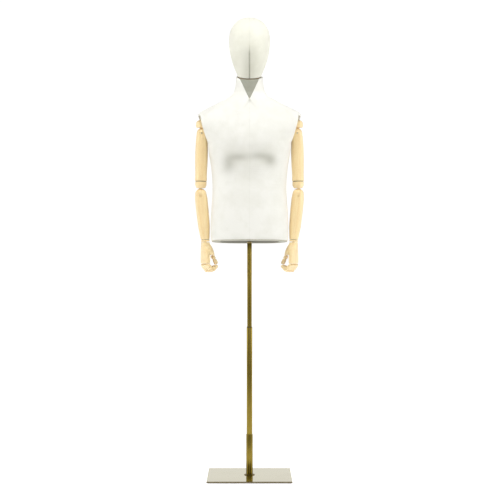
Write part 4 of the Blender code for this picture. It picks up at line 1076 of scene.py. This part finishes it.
wrist = forearm @ shift(z=-FORE_LENGTH)
ring_top, ring_low, r = -0.0015, -0.009, WRIST_RADIUS * 0.985
ring_line = eased([(0, PEG_LENGTH - 0.001), (dowel, PEG_LENGTH - 0.001), (dowel, ring_top), (r, ring_top),
                   (r, ring_low), (dowel, ring_low), (dowel, ring_low - 0.010), (0, ring_low - 0.010)],
                  0.0012)
fit_pair("wrist_ring", turned_mesh("wrist_ring", ring_line), "{}_hand", BEECH, wrist)

fit_washer("wrist_washer", "{}_hand", wrist, WRIST_RADIUS * 0.86, -0.0012, -0.0003, dowel + 0.0002)

# ---------------------------------------------------------------- hands
# The palm and the root of the thumb are carved from one beech block and sanded round.
# Thumb and fingers are small beech blocks, rounded over, strung on a cord that doesn't show.

PALM_LENGTH, PALM_THICK, PALM_BREADTH = 0.0820, 0.0098, 0.0315
HAND_YAW, HAND_GAP = 28.0, 0.0018
THENAR_K, THENAR_RADIUS, THENAR_LENGTH = -0.018, 0.0130, 0.0485
FINGER_PITCH, FINGER_WIDTH, FINGER_THICK, FINGER_CLEAR = 0.0156, 0.0147, 0.0056, 0.0007
FINGERS = {"index": (49, 0.0260, 0.0235), "middle": (46, 0.0285, 0.0255), "ring": (42, 0.0280, 0.0250),
           "little": (37, 0.0255, 0.0225)}
CARVE_STEP = 0.0008


def carved(holder, rounds):
    """The piece with its edges sanded round: an even skin, smoothed."""
    skin = holder.modifiers.new("skin", "REMESH")
    skin.mode = "VOXEL"
    skin.voxel_size = CARVE_STEP
    sand = holder.modifiers.new("sand", "SMOOTH")
    sand.iterations = rounds
    bpy.context.view_layer.update()
    evaluated = holder.evaluated_get(bpy.context.evaluated_depsgraph_get())
    made = bpy.data.meshes.new_from_object(evaluated)
    holder.modifiers.clear()
    holder.data = made
    return holder


def block_mesh(name, length, width, last):
    """A finger piece along -Z: round over its joint, with its edges rounded over."""
    half = FINGER_THICK
    end = length if last else length - half - FINGER_CLEAR
    outline = [(x, z) for x, z in rounded(half, 180, 0, 15)]
    corner = 0.0028 if last else 0.0008
    for centre, turn in (((half - corner, corner - end), 0), ((corner - half, corner - end), -90)):
        outline += [(centre[0] + x, centre[1] + z) for x, z in rounded(corner, turn, turn - 90, 6)]
    bm = bmesh.new()
    ends = [[bm.verts.new((x, y, z)) for x, z in outline] for y in (-width / 2, width / 2)]
    for i in range(len(outline)):
        bm.faces.new((ends[0][i], ends[0][i - 1], ends[1][i - 1], ends[1][i]))
    faces = [bm.faces.new(end_verts) for end_verts in ends]
    edges = list({edge for face in faces for edge in face.edges})
    bmesh.ops.bevel(bm, geom=edges, offset=0.0013, segments=4, affect="EDGES", profile=0.5,
                    clamp_overlap=True)
    return tidy_mesh(bm, name, 40.0)


palm_top = (forearm @ shift(z=-FORE_LENGTH + ring_low)).translation
hand = Matrix.Translation((palm_top.x, palm_top.y, palm_top.z - HAND_GAP)) @ spin("Z", -HAND_YAW)
t, b, length, w, q = PALM_THICK, PALM_BREADTH, PALM_LENGTH, WRIST_RADIUS * 0.97, THENAR_RADIUS
palm_rows = [
    (-length, 0, t * 0.92, b * 0.96, b * 0.96, 3.0, 0), (-length + 0.003, 0, t, b, b, 3.0, 0),
    (-length * 0.78, 0, t * 1.10, b, b, 2.8, 0), (-length * 0.55, 0, t * 1.22, b * 0.94, b * 0.94, 2.6, 0),
    (-length * 0.34, 0, t * 1.45, b * 0.80, b * 0.80, 2.3, 0),
    (-length * 0.15, 0, w * 1.02, w * 1.12, w * 1.12, 2.0, 0), (0, 0, w, w, w, 2.0, 0)]
turns = np.linspace(0, 2 * math.pi, 72, endpoint=False)
palm_grid = sections(faired(palm_rows, np.linspace(-length, 0, 60)), turns)
palm = loose(grid_mesh("palm", palm_grid, (True, True)))
root_rows = [
    (-THENAR_LENGTH, THENAR_K, q, q * 0.95, q * 0.95, 2.6, 0),
    (-THENAR_LENGTH * 0.75, THENAR_K * 0.95, q, q, q, 2.3, 0),
    (-THENAR_LENGTH * 0.40, THENAR_K * 0.60, q * 0.96, q, q, 2.0, 0),
    (-THENAR_LENGTH * 0.12, THENAR_K * 0.20, q * 0.85, q * 0.9, q * 0.9, 2.0, 0)]
levels = np.linspace(-THENAR_LENGTH, -THENAR_LENGTH * 0.12, 40)
root_grid = sections(faired(root_rows, levels), turns)
root_grid[..., 0] -= (0.004 + 0.011 * ((levels[-1] - levels) / (levels[-1] - levels[0])) ** 0.7)[:, None]
hole_in(palm, [loose(grid_mesh("thumb_root", root_grid, (True, True)))], "UNION")
carved(palm, 5)
peg_line = [(0, 0.02), (0.006, 0.02), (0.006, -0.0125), (0, -0.0125)]
hole_in(palm, [loose(turned_mesh("peg_hole", peg_line, steps=32))])
fit_pair("palm", baked(palm), "{}_hand", BEECH, hand)


def fit_digit(name, root, lengths, width, fold):
    """Two blocks, the second turned on the first, closed as the hand is."""
    base = block_mesh(f"{name}_base", lengths[0], width, False)
    fit_pair(f"{name}_base", base, "{}_" + f"{name}_base", BEECH, root)
    tip_place = root @ shift(z=-lengths[0]) @ spin("Y", fold)
    tip = block_mesh(f"{name}_tip", lengths[1], width, True)
    fit_pair(f"{name}_tip", tip, "{}_" + f"{name}_tip", BEECH, tip_place)


knuckle_z = -PALM_LENGTH - FINGER_THICK - FINGER_CLEAR
for i, (name, (curl, *lengths)) in enumerate(FINGERS.items()):
    fit_digit(name, hand @ shift(-0.0007, (i - 1.5) * FINGER_PITCH, knuckle_z) @ spin("Y", curl), lengths,
              FINGER_WIDTH, 88)
thumb_root = hand @ shift(-0.0230, THENAR_K, -THENAR_LENGTH - FINGER_THICK - FINGER_CLEAR) @ spin("Y", 28)
fit_digit("thumb", thumb_root, (0.0155, 0.0160), 0.0130, 0)

coat_cad("neck_cap", beech)
coat_cad("head_disc", beech)
for node in ("neck_post", "left_shoulder_plate", "right_shoulder_plate", "left_shoulder_bolt",
             "right_shoulder_bolt"):
    coat_cad(node, zinc)

# ---------------------------------------------------------------- studio
# A pale paper floor and a white surround, both bright behind the form and dimmer before
# it. A large soft light is overhead, a weak one in front and one at each side.

PAPER_WHITE = "#F4F4F2"
PAPER_GLOW, FRONT_SHARE = 0.62, 0.30
FLOOR_RADIUS = 40.0
HORIZON_GLOW, FRONT_GLOW, CEILING_GLOW = 1.05, 0.35, 0.10
CAMERA_PLACE = (0.002, -5.2, 0.867)
LENS_MM = 97.8


def paper():
    """Matt studio paper with a faint tooth, lit from within so that it stays pale."""
    finish = new_finish("studio_paper")
    place = add(finish, "TexCoord", {}, out="Object")
    tooth = add(finish, "TexNoise", {"Vector": place, "Scale": 400.0})
    raised = add(finish, "Bump", {"Height": tooth, "Strength": 0.03, "Distance": 0.0005})
    depth = add(finish, "SeparateXYZ", {0: place}, out=1)
    far = add(finish, "VectorMath", {0: place}, out="Value", operation="LENGTH")
    behind = add(finish, "MapRange", {"Value": depth, "From Min": -1.3, "From Max": -0.5,
                                      "To Min": FRONT_SHARE})
    reach = add(finish, "MapRange", {"Value": far, "From Min": 0.6, "From Max": 4.0, "To Min": PAPER_GLOW,
                                     "To Max": 1.0})
    glow = add(finish, "Math", {0: behind, 1: reach}, operation="MULTIPLY")
    shader = add(finish, "BsdfPrincipled", {"Base Color": linear(PAPER_WHITE), "Roughness": 0.85,
                                            "Normal": raised, "Specular IOR Level": 0.2,
                                            "Emission Color": linear("#FFFFFF"),
                                            "Emission Strength": glow})
    add(finish, "OutputMaterial", {"Surface": shader})
    return finish


floor_bm = bmesh.new()
bmesh.ops.create_circle(floor_bm, cap_ends=True, segments=96, radius=FLOOR_RADIUS)
floor = loose(tidy_mesh(floor_bm, "studio_floor"))
floor.data.materials.append(paper())


def soft_light(name, place, target, size, watts):
    """A rectangular soft box aimed at a point."""
    lamp = bpy.data.lights.new(name, "AREA")
    lamp.shape = "RECTANGLE"
    lamp.size, lamp.size_y = size
    lamp.energy = watts
    holder = bpy.data.objects.new(name, lamp)
    bpy.context.scene.collection.objects.link(holder)
    holder.location = place
    holder.rotation_euler = (Vector(target) - Vector(place)).to_track_quat("-Z", "Y").to_euler()
    return holder


soft_light("overhead_light", (0, -1.9, 4.2), (0, 0, 1.3), (3.2, 1.8), 112)
soft_light("front_light", (0.3, -4.6, 1.9), (0, 0, 1.0), (1.8, 1.4), 10)
soft_light("left_light", (-3.2, -0.6, 2.0), (0, 0, 1.1), (1.2, 2.4), 29)
soft_light("right_light", (3.2, -0.8, 2.0), (0, 0, 1.1), (1.2, 2.4), 34)
world = bpy.data.worlds.new("studio_air")
world.use_nodes = True
background = world.node_tree.nodes["Background"]
background.inputs["Color"].default_value = (1, 1, 1, 1)
way = add(world, "TexCoord", {}, out="Generated")
depth = add(world, "SeparateXYZ", {0: way}, out=1)
height = add(world, "SeparateXYZ", {0: way}, out=2)
wall = add(world, "MapRange", {"Value": depth, "From Min": -0.5, "From Max": 0.2,
                               "To Min": FRONT_GLOW, "To Max": HORIZON_GLOW})
glow = add(world, "MapRange", {"Value": height, "From Min": 0.20, "From Max": 0.42, "To Min": wall,
                               "To Max": CEILING_GLOW})
world.node_tree.links.new(glow, background.inputs["Strength"])
bpy.context.scene.world = world
bpy.context.scene.view_settings.view_transform = "Standard"

camera = bpy.data.cameras.new("camera")
camera.lens = LENS_MM
camera.sensor_width = 36
view = bpy.data.objects.new("camera", camera)
bpy.context.scene.collection.objects.link(view)
view.location = CAMERA_PLACE
view.rotation_euler = (math.radians(90), 0, 0)
bpy.context.scene.camera = view
